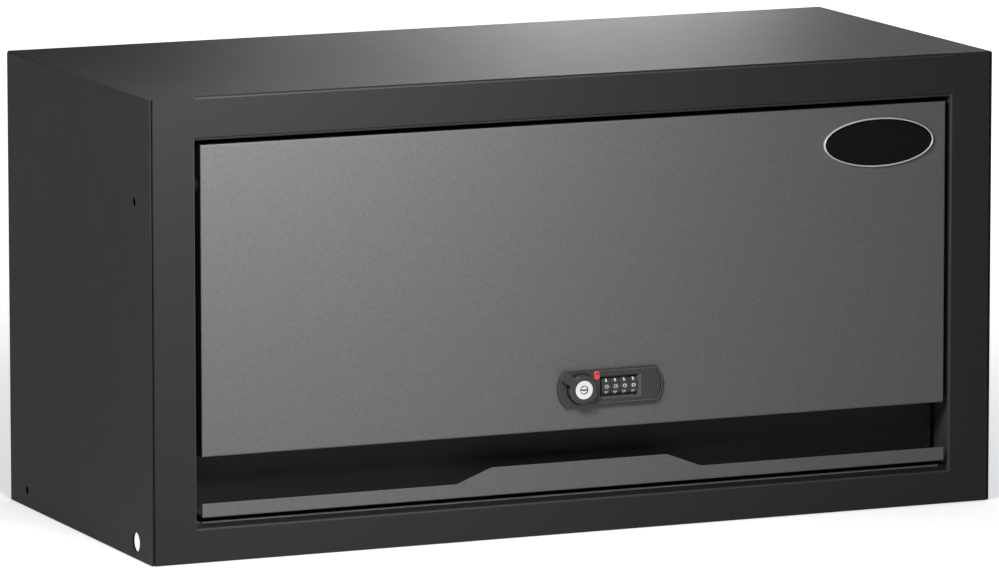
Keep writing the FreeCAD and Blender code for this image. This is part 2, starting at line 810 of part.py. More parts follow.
# Knob with its wing and barrel, the key plug inside it, the cam and its nut
def make_knob():
    body = new_body("lock_knob")
    bind(body, "Placement.Base.z", "lock_height")
    disc = front_view(body, "-moving_clearance")
    draw_circle(disc, "0", "0", "knob_radius")
    base = pad(body, disc, "knob_stand_out - moving_clearance")
    rim = [name for name, edge in named_edges(base.Shape)
           if edge.Curve.TypeId == "Part::GeomCircle"
           and near(edge.Curve.Center.y, "-knob_stand_out")]
    bevel = body.newObject("PartDesign::Chamfer", "lock_knob_bevel")
    bevel.Base = (base, rim)
    bind(bevel, "Size", "knob_bevel")
    doc.recompute()
    wing = front_view(body, "wing_thickness - knob_stand_out")
    across = "(wing_width / 2)"
    turn = "wing_angle * 1 deg"
    corners = []
    for along, side in (("wing_reach", "1"), ("-knob_radius", "1"),
                        ("-knob_radius", "-1"), ("wing_reach", "-1")):
        corners.append(("(%s) * cos(%s) - %s * %s * sin(%s)" % (along, turn, side, across, turn),
                        "(%s) * sin(%s) + %s * %s * cos(%s)" % (along, turn, side, across, turn)))
    draw_outline(wing, corners)
    pad(body, wing, "wing_thickness")
    barrel = front_view(body, "cam_front")
    draw_circle(barrel, "0", "0", "barrel_radius")
    pad(body, barrel, "cam_front + knob_stand_out / 2")
    stud = front_view(body, "cam_front + cam_gauge + cam_nut_height + cam_stud_end")
    draw_circle(stud, "0", "0", "cam_stud_radius")
    pad(body, stud, "cam_gauge + cam_nut_height + 2 * cam_stud_end")
    bore = front_view(body, "-knob_stand_out - over_cut")
    draw_circle(bore, "0", "0", "plug_radius + running_clearance")
    pocket(body, bore, "plug_length + moving_clearance + over_cut - plug_proud")
    return keep(body)


def make_key_plug():
    body = new_body("key_plug")
    bind(body, "Placement.Base.z", "lock_height")
    plug = front_view(body, "plug_length - plug_proud - knob_stand_out")
    draw_circle(plug, "0", "0", "plug_radius")
    pad(body, plug, "plug_length")
    slot = front_view(body, "-knob_stand_out - plug_proud")
    draw_rectangle(slot, "-key_slot_width / 2", "-key_slot_height / 2",
                   "key_slot_width / 2", "key_slot_height / 2")
    pocket(body, slot, "plug_length / 2")
    ring = front_view(body, "-knob_stand_out - plug_proud")
    draw_circle(ring, "0", "0", "plug_ring_radius")
    draw_circle(ring, "0", "0", "plug_ring_radius - plug_ring_width")
    pocket(body, ring, "plug_ring_depth")
    return keep(body)


def make_cam():
    body = new_body("lock_cam")
    bind(body, "Placement.Base.z", "lock_height")
    plate = front_view(body, "cam_front + cam_gauge")
    draw_outline(plate, [
        ("-cam_width / 2", "-cam_width / 2"),
        ("cam_length", "-cam_width / 3"),
        ("cam_length", "cam_width / 3"),
        ("-cam_width / 2", "cam_width / 2"),
    ])
    base = pad(body, plate, "cam_gauge")
    round_edges(body, base, "cam_width / 4", lambda way, mid: abs(way.y) > 0.9)
    hole = front_view(body, "cam_front + cam_gauge")
    draw_circle(hole, "0", "0", "cam_stud_radius")
    pocket(body, hole, "2 * cam_gauge", both=True)
    keep(body)
    nut = new_body("cam_nut")
    bind(nut, "Placement.Base.z", "lock_height")
    hexagon = front_view(nut, "cam_front + cam_gauge + cam_nut_height")
    draw_hexagon(hexagon, "0", "0", "cam_nut_width")
    draw_circle(hexagon, "0", "0", "cam_stud_radius")
    pad(nut, hexagon, "cam_nut_height")
    keep(nut)


def make_lock_screws():
    pieces = []
    for i in range(2):
        body = new_body("lock_screw_%d" % (i + 1))
        bind(body, "Placement.Base.x", "lock_screw_first + %d * lock_screw_pitch" % i)
        bind(body, "Placement.Base.z", "lock_height")
        head = front_view(body, "pan_back + lock_screw_head_height")
        draw_circle(head, "0", "0", "lock_screw_head / 2")
        pad(body, head, "lock_screw_head_height")
        shank = front_view(body, "pan_back")
        draw_circle(shank, "0", "0", "lock_screw_dia / 2")
        pad(body, shank, "lock_screw_bite + door_gauge")
        pieces.append(body)
    return keep(group("lock_screws", pieces))


def make_strike():
    """The catch on the floor that the turned cam closes behind."""
    body = new_body("lock_strike")
    front = "strike_front"
    back = "strike_front + strike_gauge"
    top = "lock_height - cam_length + strike_overlap"
    profile = side_view(body, "-strike_width / 2")
    draw_outline(profile, [
        (front, "floor_height"),
        (back + " + strike_foot", "floor_height"),
        (back + " + strike_foot", "floor_height + strike_gauge"),
        (back, "floor_height + strike_gauge"),
        (back, top),
        (front, top),
    ])
    base = pad(body, profile, "strike_width")
    round_edges(body, base, "strike_gauge / 2",
                lambda way, mid: abs(way.x) > 0.9 and near(mid.z, "floor_height")
                and near(mid.y, front))
    return keep(body)


# Gas struts
def strut_angle():
    """The slope of the closed strut, seen from the side, from its foot to its head."""
    return "atan2(-strut_head_below; strut_head_back - strut_foot_back)"


def place_on_strut(thing, at_head=False):
    bind(thing, "Placement.Base.x", "-strut_line")
    bind(thing, "Placement.Base.y", "front_shift + " + ("head_y" if at_head else "foot_y"))
    bind(thing, "Placement.Base.z", "pivot_height" + (" - strut_head_below" if at_head else ""))
    thing.Placement.Rotation = FreeCAD.Rotation(Vector(1, 0, 0), 0)
    thing.setExpression("Placement.Rotation.Axis.x", "1")
    thing.setExpression("Placement.Rotation.Axis.y", "0")
    thing.setExpression("Placement.Rotation.Axis.z", "0")
    bind(thing, "Placement.Rotation.Angle", strut_angle())


STRUT_LENGTH = "sqrt(strut_head_below ^ 2 + (strut_foot_back - strut_head_back) ^ 2)"
TUBE_START = "socket_neck"
TUBE_END = STRUT_LENGTH + " - socket_neck - strut_rod_out"


def make_socket(label, at_head, opens):
    """A moulded socket: a short drum across the strut with a neck along it."""
    body = new_body(label)
    place_on_strut(body, at_head)
    drum = new_sketch(body, "YZ", "-socket_width / 2")
    draw_circle(drum, "0", "0", "socket_radius")
    pad(body, drum, "socket_width")
    neck = new_sketch(body, "XZ", "0")
    draw_circle(neck, "0", "0", "socket_neck_dia / 2")
    feature = pad(body, neck, "socket_neck")
    feature.Reversed = not at_head
    doc.recompute()
    cup = new_sketch(body, "YZ", "-socket_width" if opens == "outwards" else "socket_width")
    draw_circle(cup, "0", "0", "ball_radius + moving_clearance")
    pocket(body, cup, "socket_width + ball_radius + moving_clearance",
           reverse=(opens == "outwards"))
    return body


def make_struts():
    tube = new_body("left_strut_tube")
    place_on_strut(tube)
    outer = new_sketch(tube, "XZ", "-(%s)" % TUBE_END)
    draw_circle(outer, "0", "0", "strut_tube_dia / 2")
    base = pad(tube, outer, "(%s) - (%s)" % (TUBE_END, TUBE_START))
    ends = [name for name, edge in named_edges(base.Shape)
            if edge.Curve.TypeId == "Part::GeomCircle"]
    rounding = tube.newObject("PartDesign::Fillet", "left_strut_tube_ends")
    rounding.Base = (base, ends)
    bind(rounding, "Radius", "strut_tube_rounding")
    doc.recompute()
    bore = new_sketch(tube, "XZ", "-(%s)" % TUBE_END)
    draw_circle(bore, "0", "0", "strut_rod_dia / 2 + running_clearance")
    pocket(tube, bore, "(%s) - (%s) - sheet_gauge" % (TUBE_END, TUBE_START), reverse=True)

    rod = new_body("left_strut_rod")
    place_on_strut(rod)
    shaft = new_sketch(rod, "XZ", "-(%s - socket_neck)" % STRUT_LENGTH)
    draw_circle(shaft, "0", "0", "strut_rod_dia / 2")
    pad(rod, shaft, "%s - 2 * socket_neck - 3 * sheet_gauge" % STRUT_LENGTH)

    foot = make_socket("left_strut_foot_socket", False, "outwards")
    head = make_socket("left_strut_head_socket", True, "inwards")
    for left in (tube, rod, foot, head):
        keep(left)
        keep(mirrored(left, left.Label.replace("left", "right")))


def make_ball_stud(label, x, y, z, length, way, with_ball):
    """A ball stud across the cabinet: base, neck and ball, turned as one piece."""
    body = new_body(label)
    bind(body, "Placement.Base.x", x)
    bind(body, "Placement.Base.y", "front_shift + " + y)
    bind(body, "Placement.Base.z", z)
    base = new_sketch(body, "YZ", "0" if way > 0 else "-stud_base_height")
    draw_circle(base, "0", "0", "stud_base_radius")
    pad(body, base, "stud_base_height")
    neck = new_sketch(body, "YZ", "0" if way > 0 else "-(%s)" % length)
    draw_circle(neck, "0", "0", "stud_neck_dia / 2")
    pad(body, neck, length)
    if with_ball:
        ball = body.newObject("PartDesign::AdditiveSphere", label + "_ball")
        bind(ball, "Radius", "ball_radius")
        bind(ball, "Placement.Base.x", length)
        doc.recompute()
    return body


def make_foot_brackets():
    """A bent bracket on each side wall that carries the strut's foot in line with the flap."""
    body = new_body("left_foot_bracket")
    wall = "-(shell_inside)"
    seat = "-(strut_line + socket_width / 2 + moving_clearance + stud_base_height)"
    web = "foot_y + foot_bracket_leg / 2"
    plan = new_sketch(body, "XY", "pivot_height - foot_bracket_height / 2")
    draw_outline(plan, [
        (wall, web + " + foot_bracket_leg"),
        (wall, web),
        (seat + " - bracket_gauge", web),
        (seat + " - bracket_gauge", "foot_y - foot_bracket_leg / 2"),
        (seat, "foot_y - foot_bracket_leg / 2"),
        (seat, web + " + bracket_gauge"),
        (wall + " + bracket_gauge", web + " + bracket_gauge"),
        (wall + " + bracket_gauge", web + " + foot_bracket_leg"),
    ])
    base = pad(body, plan, "foot_bracket_height")
    round_edges(body, base, "bracket_gauge",
                lambda way, mid: abs(way.z) > 0.9 and near(mid.y, web + " + bracket_gauge")
                and near(mid.x, seat))
    stud = make_ball_stud("left_foot_stud", seat, "foot_y", "pivot_height",
                          "socket_width / 2 + moving_clearance + stud_base_height", 1, True)
    rivets = []
    for i in (-1, 1):
        rivet = new_body("left_foot_rivet_%d" % (i + 2))
        head = side_view(rivet, wall + " + bracket_gauge")
        draw_circle(head, web + " + foot_rivet_along",
                    "pivot_height + %d * foot_bracket_height / 4" % i, "rivet_head / 2")
        pad(rivet, head, "rivet_head_height")
        rivets.append(rivet)
    keep(group("strut_foot_brackets", [body, mirrored(body, "right_foot_bracket")]))
    keep(group("strut_foot_studs", [stud, mirrored(stud, "right_foot_stud")]))
    return rivets


def make_head_brackets():
    """A small angle on the back of the flap for the strut's head."""
    body = new_body("left_head_bracket")
    gap = "socket_width / 2 + moving_clearance + stud_base_height"
    seat = "-strut_line + " + gap
    low = "pivot_height - strut_head_below - head_bracket_height / 2"
    plan = new_sketch(body, "XY", low)
    draw_outline(plan, [
        (seat, "pan_back"),
        (seat + " + head_bracket_leg", "pan_back"),
        (seat + " + head_bracket_leg", "pan_back + bracket_gauge"),
        (seat + " + bracket_gauge", "pan_back + bracket_gauge"),
        (seat + " + bracket_gauge", "head_y + stud_base_radius + bracket_gauge"),
        (seat, "head_y + stud_base_radius + bracket_gauge"),
    ])
    base = pad(body, plan, "head_bracket_height")
    round_edges(body, base, "bracket_gauge",
                lambda way, mid: abs(way.z) > 0.9 and near(mid.y, "pan_back")
                and near(mid.x, seat))
    stud = make_ball_stud("left_head_stud", seat, "head_y", "pivot_height - strut_head_below",
                          "stud_base_height", -1, False)
    rivets = []
    for i in (-1, 1):
        rivet = new_body("left_head_rivet_%d" % (i + 2))
        head = front_view(rivet, "pan_back + bracket_gauge + rivet_head_height")
        draw_circle(head, seat + " + head_rivet_along",
                    "pivot_height - strut_head_below + %d * head_bracket_height / 4" % i,
                    "rivet_head / 2 - bracket_gauge / 2")
        pad(rivet, head, "rivet_head_height")
        rivets.append(rivet)
    keep(group("strut_head_brackets", [body, mirrored(body, "right_head_bracket")]))
    keep(group("strut_head_studs", [stud, mirrored(stud, "right_head_stud")]))
    return rivets


def make_stops():
    """Angles on the stiles with rubber buffers that the closed flap rests against."""
    body = new_body("left_stop")
    leg = "-opening_half"
    plate_y = "pan_back + buffer_thickness"
    plan = new_sketch(body, "XY", "stop_height")
    draw_outline(plan, [
        (leg, "stile_return / 2"),
        (leg + " + stop_gauge", "stile_return / 2"),
        (leg + " + stop_gauge", plate_y),
        (leg + " + stop_reach", plate_y),
        (leg + " + stop_reach", plate_y + " + stop_gauge"),
        (leg, plate_y + " + stop_gauge"),
    ])
    pad(body, plan, "stop_length")
    rubber = new_body("left_buffer")
    face = front_view(rubber, plate_y)
    edge = leg + " + stop_reach"
    draw_rectangle(face, edge + " - buffer_width", "stop_height + stop_gauge",
                   edge, "stop_height + stop_length - stop_gauge")
    base = pad(rubber, face, "buffer_thickness - moving_clearance")
    round_edges(rubber, base, "buffer_thickness / 4",
                lambda way, mid: near(mid.y, "pan_back + moving_clearance"))
    keep(group("door_stops", [body, mirrored(body, "right_stop")]))
    keep(group("stop_buffers", [rubber, mirrored(rubber, "right_buffer")]))


# Bare oval plate with a bright rim
def make_badge():
    plate = new_body("badge_plate")
    face = front_view(plate, "0")
    half_long = "badge_width / 2 - badge_rim"
    half_short = "badge_height / 2 - badge_rim"
    draw_ellipse(face, "badge_x", "badge_z", half_long, half_short)
    pad(plate, face, "badge_thickness")
    keep(plate)
    rim = new_body("badge_rim")
    ring = front_view(rim, "0")
    draw_ellipse(ring, "badge_x", "badge_z", "badge_width / 2", "badge_height / 2")
    pad(rim, ring, "badge_rim_thickness")
    hole = front_view(rim, "0")
    draw_ellipse(hole, "badge_x", "badge_z", half_long, half_short)
    pocket(rim, hole, "3 * badge_rim_thickness", both=True)
    keep(rim)


make_body_shell()
left_stile = make_stile()
keep(mirrored(left_stile, "right_stile"))
make_top_rail()
make_bottom_rail()
make_floor_panel()
make_back_panel()
make_wall_rail("upper_wall_rail", "upper_wall_hole")
make_wall_rail("lower_wall_rail", "wall_hole_above_base")
make_door_front_panel()
make_door_inner_pan()
make_pull_strip()
make_pivots()
make_lock_plate()
make_lock_case()
make_dials()
make_status_indicator()
make_knob()
make_key_plug()
make_cam()
make_lock_screws()
make_strike()
make_struts()
foot_rivets = make_foot_brackets()
head_rivets = make_head_brackets()
for label, rivets in (("foot_bracket_rivets", foot_rivets), ("head_bracket_rivets", head_rivets)):
    twins = [mirrored(rivet, rivet.Label.replace("left", "right")) for rivet in rivets]
    keep(group(label, rivets + twins))
make_stops()
make_badge()

# Check everything, then write one file for each node
doc.recompute()
for thing in doc.Objects:
    if "Invalid" in thing.State or "Error" in thing.State:
        raise RuntimeError("%s did not build: %s" % (thing.Label, thing.State))
for thing in nodes:
    if thing.Shape.isNull() or not thing.Shape.isValid():
        raise RuntimeError("%s has no valid shape" % thing.Label)

os.makedirs("parts", exist_ok=True)
for thing in nodes:
    thing.Shape.exportStep("parts/%s.step" % thing.Label)
    print("%-26s %2d solids %10.1f mm3" % (thing.Label, len(thing.Shape.Solids), thing.Shape.Volume))
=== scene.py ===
import bmesh
import bpy
import math
from mathutils import Matrix, Vector


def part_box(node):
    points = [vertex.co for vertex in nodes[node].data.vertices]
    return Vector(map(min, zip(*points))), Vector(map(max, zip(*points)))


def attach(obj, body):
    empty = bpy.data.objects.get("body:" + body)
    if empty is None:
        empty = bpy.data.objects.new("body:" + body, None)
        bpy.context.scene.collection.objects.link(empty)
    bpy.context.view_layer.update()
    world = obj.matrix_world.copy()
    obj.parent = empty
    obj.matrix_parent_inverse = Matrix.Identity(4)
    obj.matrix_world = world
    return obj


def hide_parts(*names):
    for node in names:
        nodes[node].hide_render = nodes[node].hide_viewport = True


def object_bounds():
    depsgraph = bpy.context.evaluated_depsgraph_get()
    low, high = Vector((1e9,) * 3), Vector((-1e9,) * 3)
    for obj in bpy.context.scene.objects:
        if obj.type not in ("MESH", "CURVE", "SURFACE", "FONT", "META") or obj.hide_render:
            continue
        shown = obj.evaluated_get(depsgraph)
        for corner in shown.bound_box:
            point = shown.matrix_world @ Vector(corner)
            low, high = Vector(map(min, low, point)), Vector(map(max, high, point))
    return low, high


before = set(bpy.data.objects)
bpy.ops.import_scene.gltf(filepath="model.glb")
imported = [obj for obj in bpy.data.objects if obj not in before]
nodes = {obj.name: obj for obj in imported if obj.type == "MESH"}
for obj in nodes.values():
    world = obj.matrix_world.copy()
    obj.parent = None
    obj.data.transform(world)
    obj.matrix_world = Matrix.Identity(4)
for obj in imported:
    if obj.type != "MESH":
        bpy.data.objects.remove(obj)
cad_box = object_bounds()
MM = 0.001

# %% [markdown]
# A finish is a small graph of shader nodes round the Principled shader. What is the same all over
# the surface, such as how glossy the plastic is, is set on the shader itself, and what varies is
# linked to it. All textures use object coordinates in metres, so a grain keeps its real size on
# every part.
# %% Start of a finish
FINISHES = {}


def add_node(graph, kind, **inputs):
    """A node with some inputs set; an underscore stands for a space in an input's name."""
    node = graph.nodes.new(kind)
    for name, value in inputs.items():
        node.inputs[name.replace("_", " ")].default_value = value
    return node


def start_finish(name, colour, roughness, metallic=0.0, gloss=0.5):
    """A new finish: its graph, its shader, and the socket that gives places on the object."""
    finish = bpy.data.materials.new(name)
    finish.use_nodes = True
    graph = finish.node_tree
    shader = graph.nodes["Principled BSDF"]
    shader.inputs["Base Color"].default_value = (*colour, 1)
    shader.inputs["Roughness"].default_value = roughness
    shader.inputs["Metallic"].default_value = metallic
    shader.inputs["Specular IOR Level"].default_value = gloss
    FINISHES[name] = finish
    return graph, shader, graph.nodes.new("ShaderNodeTexCoord").outputs["Object"]


# %% [markdown]
# Sprayed paint and cast plastic are never one flat colour. A noise texture gives a share between
# nothing and one that wanders over the surface, and a ramp turns it into a colour between two
# tones that lie close together.
# %% Colour that drifts
def tone_ramp(graph, share_socket, dark, light, start, end):
    """Turn a share from nothing to one into a colour between two tones."""
    ramp = graph.nodes.new("ShaderNodeValToRGB")
    for element, position, tone in zip(ramp.color_ramp.elements, (start, end), (dark, light)):
        element.position = position
        element.color = (*tone, 1)
    graph.links.new(share_socket, ramp.inputs["Fac"])
    return ramp.outputs["Color"]


def mottled_colour(graph, shader, place, dark, light, scale):
    """Let the colour drift between two tones, as sprayed paint and cast plastic do."""
    noise = add_node(graph, "ShaderNodeTexNoise", Scale=scale, Detail=4.0)
    graph.links.new(place, noise.inputs["Vector"])
    colour = tone_ramp(graph, noise.outputs["Fac"], dark, light, 0.3, 0.7)
    graph.links.new(colour, shader.inputs["Base Color"])
    return colour


# %% [markdown]
# Two more things are never even: how rough a surface is, and its height. A varied roughness
# breaks up a sheen, and a fine bump gives powder coat, moulded plastic and rubber their grain.
# A real change of height would need millions of faces, so the bump only tilts the shading.
# %% Roughness and grain
def varied_roughness(graph, shader, place, low, high, scale):
    """Let the roughness drift between two values, so that a sheen is never quite even."""
    noise = add_node(graph, "ShaderNodeTexNoise", Scale=scale, Detail=3.0)
    spread = add_node(graph, "ShaderNodeMapRange", To_Min=low, To_Max=high)
    graph.links.new(place, noise.inputs["Vector"])
    graph.links.new(noise.outputs["Fac"], spread.inputs["Value"])
    graph.links.new(spread.outputs["Result"], shader.inputs["Roughness"])


def fine_bump(graph, shader, place, scale, height, strength, stretch=(1, 1, 1)):
    """A bump of the given height in metres, with grains of about 1 / scale metres."""
    mapping = add_node(graph, "ShaderNodeMapping", Scale=stretch)
    noise = add_node(graph, "ShaderNodeTexNoise", Scale=scale, Detail=2.0)
    bump = add_node(graph, "ShaderNodeBump", Strength=strength, Distance=height)
    graph.links.new(place, mapping.inputs["Vector"])
    graph.links.new(mapping.outputs["Vector"], noise.inputs["Vector"])
    graph.links.new(noise.outputs["Fac"], bump.inputs["Height"])
    graph.links.new(bump.outputs["Normal"], shader.inputs["Normal"])


# %% [markdown]
# The flap's edges get a painted highlight: their colour is lifted, so that folded edges read a
# little lighter than the flat sheet. The Bevel node gives the direction an edge would have if it
# were rounded. Where that differs from the true direction there is an edge, and the flap's colour
# is lifted there.
# %% Painted highlights on edges
SAME_WAY = 0.995
CLEARLY_TURNED = 0.8


def scale_colour(graph, shader, colour_socket, factor_socket):
    scaled = graph.nodes.new("ShaderNodeVectorMath")
    scaled.operation = "SCALE"
    graph.links.new(colour_socket, scaled.inputs[0])
    graph.links.new(factor_socket, scaled.inputs["Scale"])
    graph.links.new(scaled.outputs["Vector"], shader.inputs["Base Color"])


def lighter_edges(graph, shader, colour_socket, brightest, reach):
    """Paint a highlight: brighten the colour up to the given factor where the surface turns within
    the reach.
    """
    rounded = add_node(graph, "ShaderNodeBevel", Radius=reach)
    rounded.samples = 4
    true_way = graph.nodes.new("ShaderNodeNewGeometry")
    alike = graph.nodes.new("ShaderNodeVectorMath")
    alike.operation = "DOT_PRODUCT"
    graph.links.new(rounded.outputs["Normal"], alike.inputs[0])
    graph.links.new(true_way.outputs["True Normal"], alike.inputs[1])
    edge = add_node(graph, "ShaderNodeMapRange", From_Min=SAME_WAY, From_Max=CLEARLY_TURNED,
                    To_Min=1.0, To_Max=brightest)
    graph.links.new(alike.outputs["Value"], edge.inputs["Value"])
    scale_colour(graph, shader, colour_socket, edge.outputs["Result"])


# %% [markdown]
# A fold is where the surface faces neither straight forward nor straight up nor straight
# sideways, so the largest part of its direction tells a fold from a flat. On every powder coat but
# the frame's, each fold gets painted light, which hides the dark line that the rounded bend would
# draw against the light, so the top and the sides meet with hardly a line, as they do in the
# photograph.
# %% Painted light on folds
FLAT_ABOVE = 0.975


def math_node(graph, operation, first, second=None):
    """A Math node whose inputs are numbers or the sockets of other nodes."""
    node = graph.nodes.new("ShaderNodeMath")
    node.operation = operation
    for socket, value in zip(node.inputs, (first, second)):
        if value is None:
            continue
        if isinstance(value, (int, float)):
            socket.default_value = value
        else:
            graph.links.new(value, socket)
    return node.outputs["Value"]


def fold_mask(graph):
    """One on a fold and nothing on a flat, and how far the surface faces sideways."""
    facing = graph.nodes.new("ShaderNodeSeparateXYZ")
    graph.links.new(graph.nodes.new("ShaderNodeTexCoord").outputs["Normal"],
                    facing.inputs["Vector"])
    parts = [math_node(graph, "ABSOLUTE", facing.outputs[axis]) for axis in "XYZ"]
    larger = math_node(graph, "MAXIMUM", parts[0], parts[1])
    largest = math_node(graph, "MAXIMUM", larger, parts[2])
    return math_node(graph, "LESS_THAN", largest, FLAT_ABOVE), parts[0]


def lighter_folds(graph, shader, colour_socket, amount):
    fold, _ = fold_mask(graph)
    lift = math_node(graph, "MULTIPLY", fold, amount)
    scale_colour(graph, shader, colour_socket, math_node(graph, "ADD", lift, 1.0))


# %% [markdown]
# The folds round the opening get a painted highlight, and the outer folds of the frame none.
# The upper fold of the bottom rail, which lies in the shade under the flap's lip, gets the most.
# The stiles' returns, which face sideways into the opening, get painted light and read a little
# lighter than the faces.
# %% Painted highlights round the opening
OPENING_REACH = 306.9 * MM
RAIL_END_CLEARANCE = 8.0 * MM
STEP_FOLD_ABOVE = 26.5 * MM
STEP_FOLD_BELOW = 40.0 * MM
OPENING_FOLD_HIGHLIGHT = 0.9
STEP_FOLD_HIGHLIGHT = 16.0
RETURN_PAINTED_LIGHT = 0.8


def rubbed_folds(graph, shader, colour_socket, place):
    """Paint light on the folds inside the opening, most of all on the bottom rail's upper fold,
    and on the stiles' returns.
    """
    fold, facing_sideways = fold_mask(graph)
    spot = graph.nodes.new("ShaderNodeSeparateXYZ")
    graph.links.new(place, spot.inputs["Vector"])
    across = math_node(graph, "ABSOLUTE", spot.outputs["X"])
    inner = math_node(graph, "LESS_THAN", across, OPENING_REACH)
    clear_of_ends = math_node(graph, "LESS_THAN", across, OPENING_REACH - RAIL_END_CLEARANCE)
    low = math_node(graph, "LESS_THAN", spot.outputs["Z"], STEP_FOLD_BELOW)
    high = math_node(graph, "GREATER_THAN", spot.outputs["Z"], STEP_FOLD_ABOVE)
    step = math_node(graph, "MULTIPLY", math_node(graph, "MULTIPLY", low, high), clear_of_ends)
    amount = math_node(graph, "MULTIPLY_ADD", step, STEP_FOLD_HIGHLIGHT)
    amount.node.inputs[2].default_value = OPENING_FOLD_HIGHLIGHT
    opening_light = math_node(graph, "MULTIPLY", fold, amount)
    sideways = math_node(graph, "GREATER_THAN", facing_sideways, FLAT_ABOVE)
    returns = math_node(graph, "MULTIPLY", sideways, RETURN_PAINTED_LIGHT)
    lift = math_node(graph, "MULTIPLY", math_node(graph, "ADD", opening_light, returns), inner)
    scale_colour(graph, shader, colour_socket, math_node(graph, "ADD", lift, 1.0))


# %% [markdown]
# Powder coat is plastic powder melted onto steel. It has a soft sheen and a faint orange-peel
# surface with grains under a millimetre. The body, the front frame, the flap's inner pan and
# the inside all have it, in slightly different blacks, so one function makes them all.
# %% Powder coats
BODY_FOLD_PAINTED_LIGHT = 1.3


def powder_coat(name, tone, roughness, opening_light=False):
    graph, shader, place = start_finish(name, (tone,) * 3, roughness, gloss=0.1)
    colour = mottled_colour(graph, shader, place, (tone * 0.92,) * 3, (tone * 1.08,) * 3,
                            scale=900.0)
    # Painted highlights and painted light round the frame's opening, and painted light on the
    # folds of the other coats.
    if opening_light:
        rubbed_folds(graph, shader, colour, place)
    else:
        lighter_folds(graph, shader, colour, BODY_FOLD_PAINTED_LIGHT)
    varied_roughness(graph, shader, place, roughness - 0.03, roughness + 0.03, scale=60.0)
    fine_bump(graph, shader, place, scale=1400.0, height=0.04 * MM, strength=0.35)


powder_coat("body_coat", 0.028, 0.55)
powder_coat("frame_coat", 0.032, 0.55, opening_light=True)
powder_coat("liner_coat", 0.055, 0.6)
powder_coat("pan_coat", 0.027, 0.6)
powder_coat("inner_coat", 0.01, 0.6)
print("powder coats:", list(FINISHES))

# %% [markdown]
# The flap is sprayed with a grey metallic paint. Tiny aluminium flakes lie in it at slightly
# different tilts, which gives the fine grain seen in the photograph and a sheen that falls off
# slowly. Voronoi cells of two thirds of a millimetre stand for the flakes, each with its own
# tone. Only the outer face gets the grey: the folded returns are painted near black, a painted
# shade that makes the gap round the flap look black as deep shadow does. The depth behind the
# face tells the two apart.
# %% Metallic flap paint
FLAP_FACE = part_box("door_front_panel")[0].y
SPRAYED_DEPTH = 0.9 * MM
GAP_SHADE_TONE = 0.008
FLAKES_PER_METRE = 1500.0
DRIFTS_PER_METRE = 420.0
FLAKE_CONTRAST = 0.14
EDGE_HIGHLIGHT_BRIGHTEST = 1.4
EDGE_REACH = 0.6 * MM


def flake_paint(name, tone, roughness):
    graph, shader, place = start_finish(name, (tone,) * 3, roughness, gloss=0.2)
    flakes = add_node(graph, "ShaderNodeTexVoronoi", Scale=FLAKES_PER_METRE)
    drift = add_node(graph, "ShaderNodeTexNoise", Scale=DRIFTS_PER_METRE, Detail=3.0)
    blend = add_node(graph, "ShaderNodeMix", Factor=0.5)
    graph.links.new(place, flakes.inputs["Vector"])
    graph.links.new(place, drift.inputs["Vector"])
    graph.links.new(flakes.outputs["Color"], blend.inputs["A"])
    graph.links.new(drift.outputs["Fac"], blend.inputs["B"])
    sprayed = tone_ramp(graph, blend.outputs["Result"], (tone * (1 - FLAKE_CONTRAST),) * 3,
                        (tone * (1 + FLAKE_CONTRAST),) * 3, 0.25, 0.75)
    # The returns behind the sprayed face get a near-black painted shade.
    depth = graph.nodes.new("ShaderNodeSeparateXYZ")
    graph.links.new(place, depth.inputs["Vector"])
    behind = math_node(graph, "GREATER_THAN", depth.outputs["Y"], FLAP_FACE + SPRAYED_DEPTH)
    masked = graph.nodes.new("ShaderNodeMix")
    masked.data_type = "RGBA"
    masked.inputs["B"].default_value = (*(GAP_SHADE_TONE,) * 3, 1)
    graph.links.new(behind, masked.inputs["Factor"])
    graph.links.new(sprayed, masked.inputs["A"])
    # Painted highlight along the flap's edges.
    lighter_edges(graph, shader, masked.outputs["Result"], EDGE_HIGHLIGHT_BRIGHTEST, EDGE_REACH)
    varied_roughness(graph, shader, place, roughness - 0.04, roughness + 0.04, scale=500.0)
    fine_bump(graph, shader, place, scale=2200.0, height=0.03 * MM, strength=0.25)


flake_paint("flap_paint", 0.14, 0.5)
print("flap paint: %.0f flakes to the metre" % FLAKES_PER_METRE)


# %% [markdown]
# The bare metal parts are few. Zinc plate is dull and slightly cloudy, so its grain is a soft
# noise stretched along the sheet. The strut's rod and the key plug are polished chrome, smooth
# enough to show a clear reflection, with the faint scratches that use leaves. The badge's rim is
# a silver print under lacquer, which scatters light like paint, so it is only partly metallic.
# %% Zinc, chrome and satin silver
def bare_metal(name, tone, roughness, spread, stretch, grain, metallic=1.0):
    colour = (tone, tone, tone * 1.01)
    graph, shader, place = start_finish(name, colour, roughness, metallic)
    mottled_colour(graph, shader, place, (tone * 0.9,) * 3, (tone * 1.05,) * 3, scale=45.0)
    varied_roughness(graph, shader, place, roughness - spread, roughness + spread, scale=120.0)
    fine_bump(graph, shader, place, scale=grain, height=0.03 * MM, strength=0.3, stretch=stretch)


bare_metal("zinc_plate", 0.55, 0.36, 0.08, (0.1, 1, 1), 900.0)
bare_metal("rod_chrome", 0.78, 0.1, 0.03, (1, 0.05, 1), 2500.0)
bare_metal("plug_chrome", 0.88, 0.26, 0.05, (1, 1, 1), 2500.0)
bare_metal("rim_silver", 0.8, 0.3, 0.05, (1, 1, 1), 1500.0, 0.25)
print("metals: zinc plate, two chromes and a silver print")


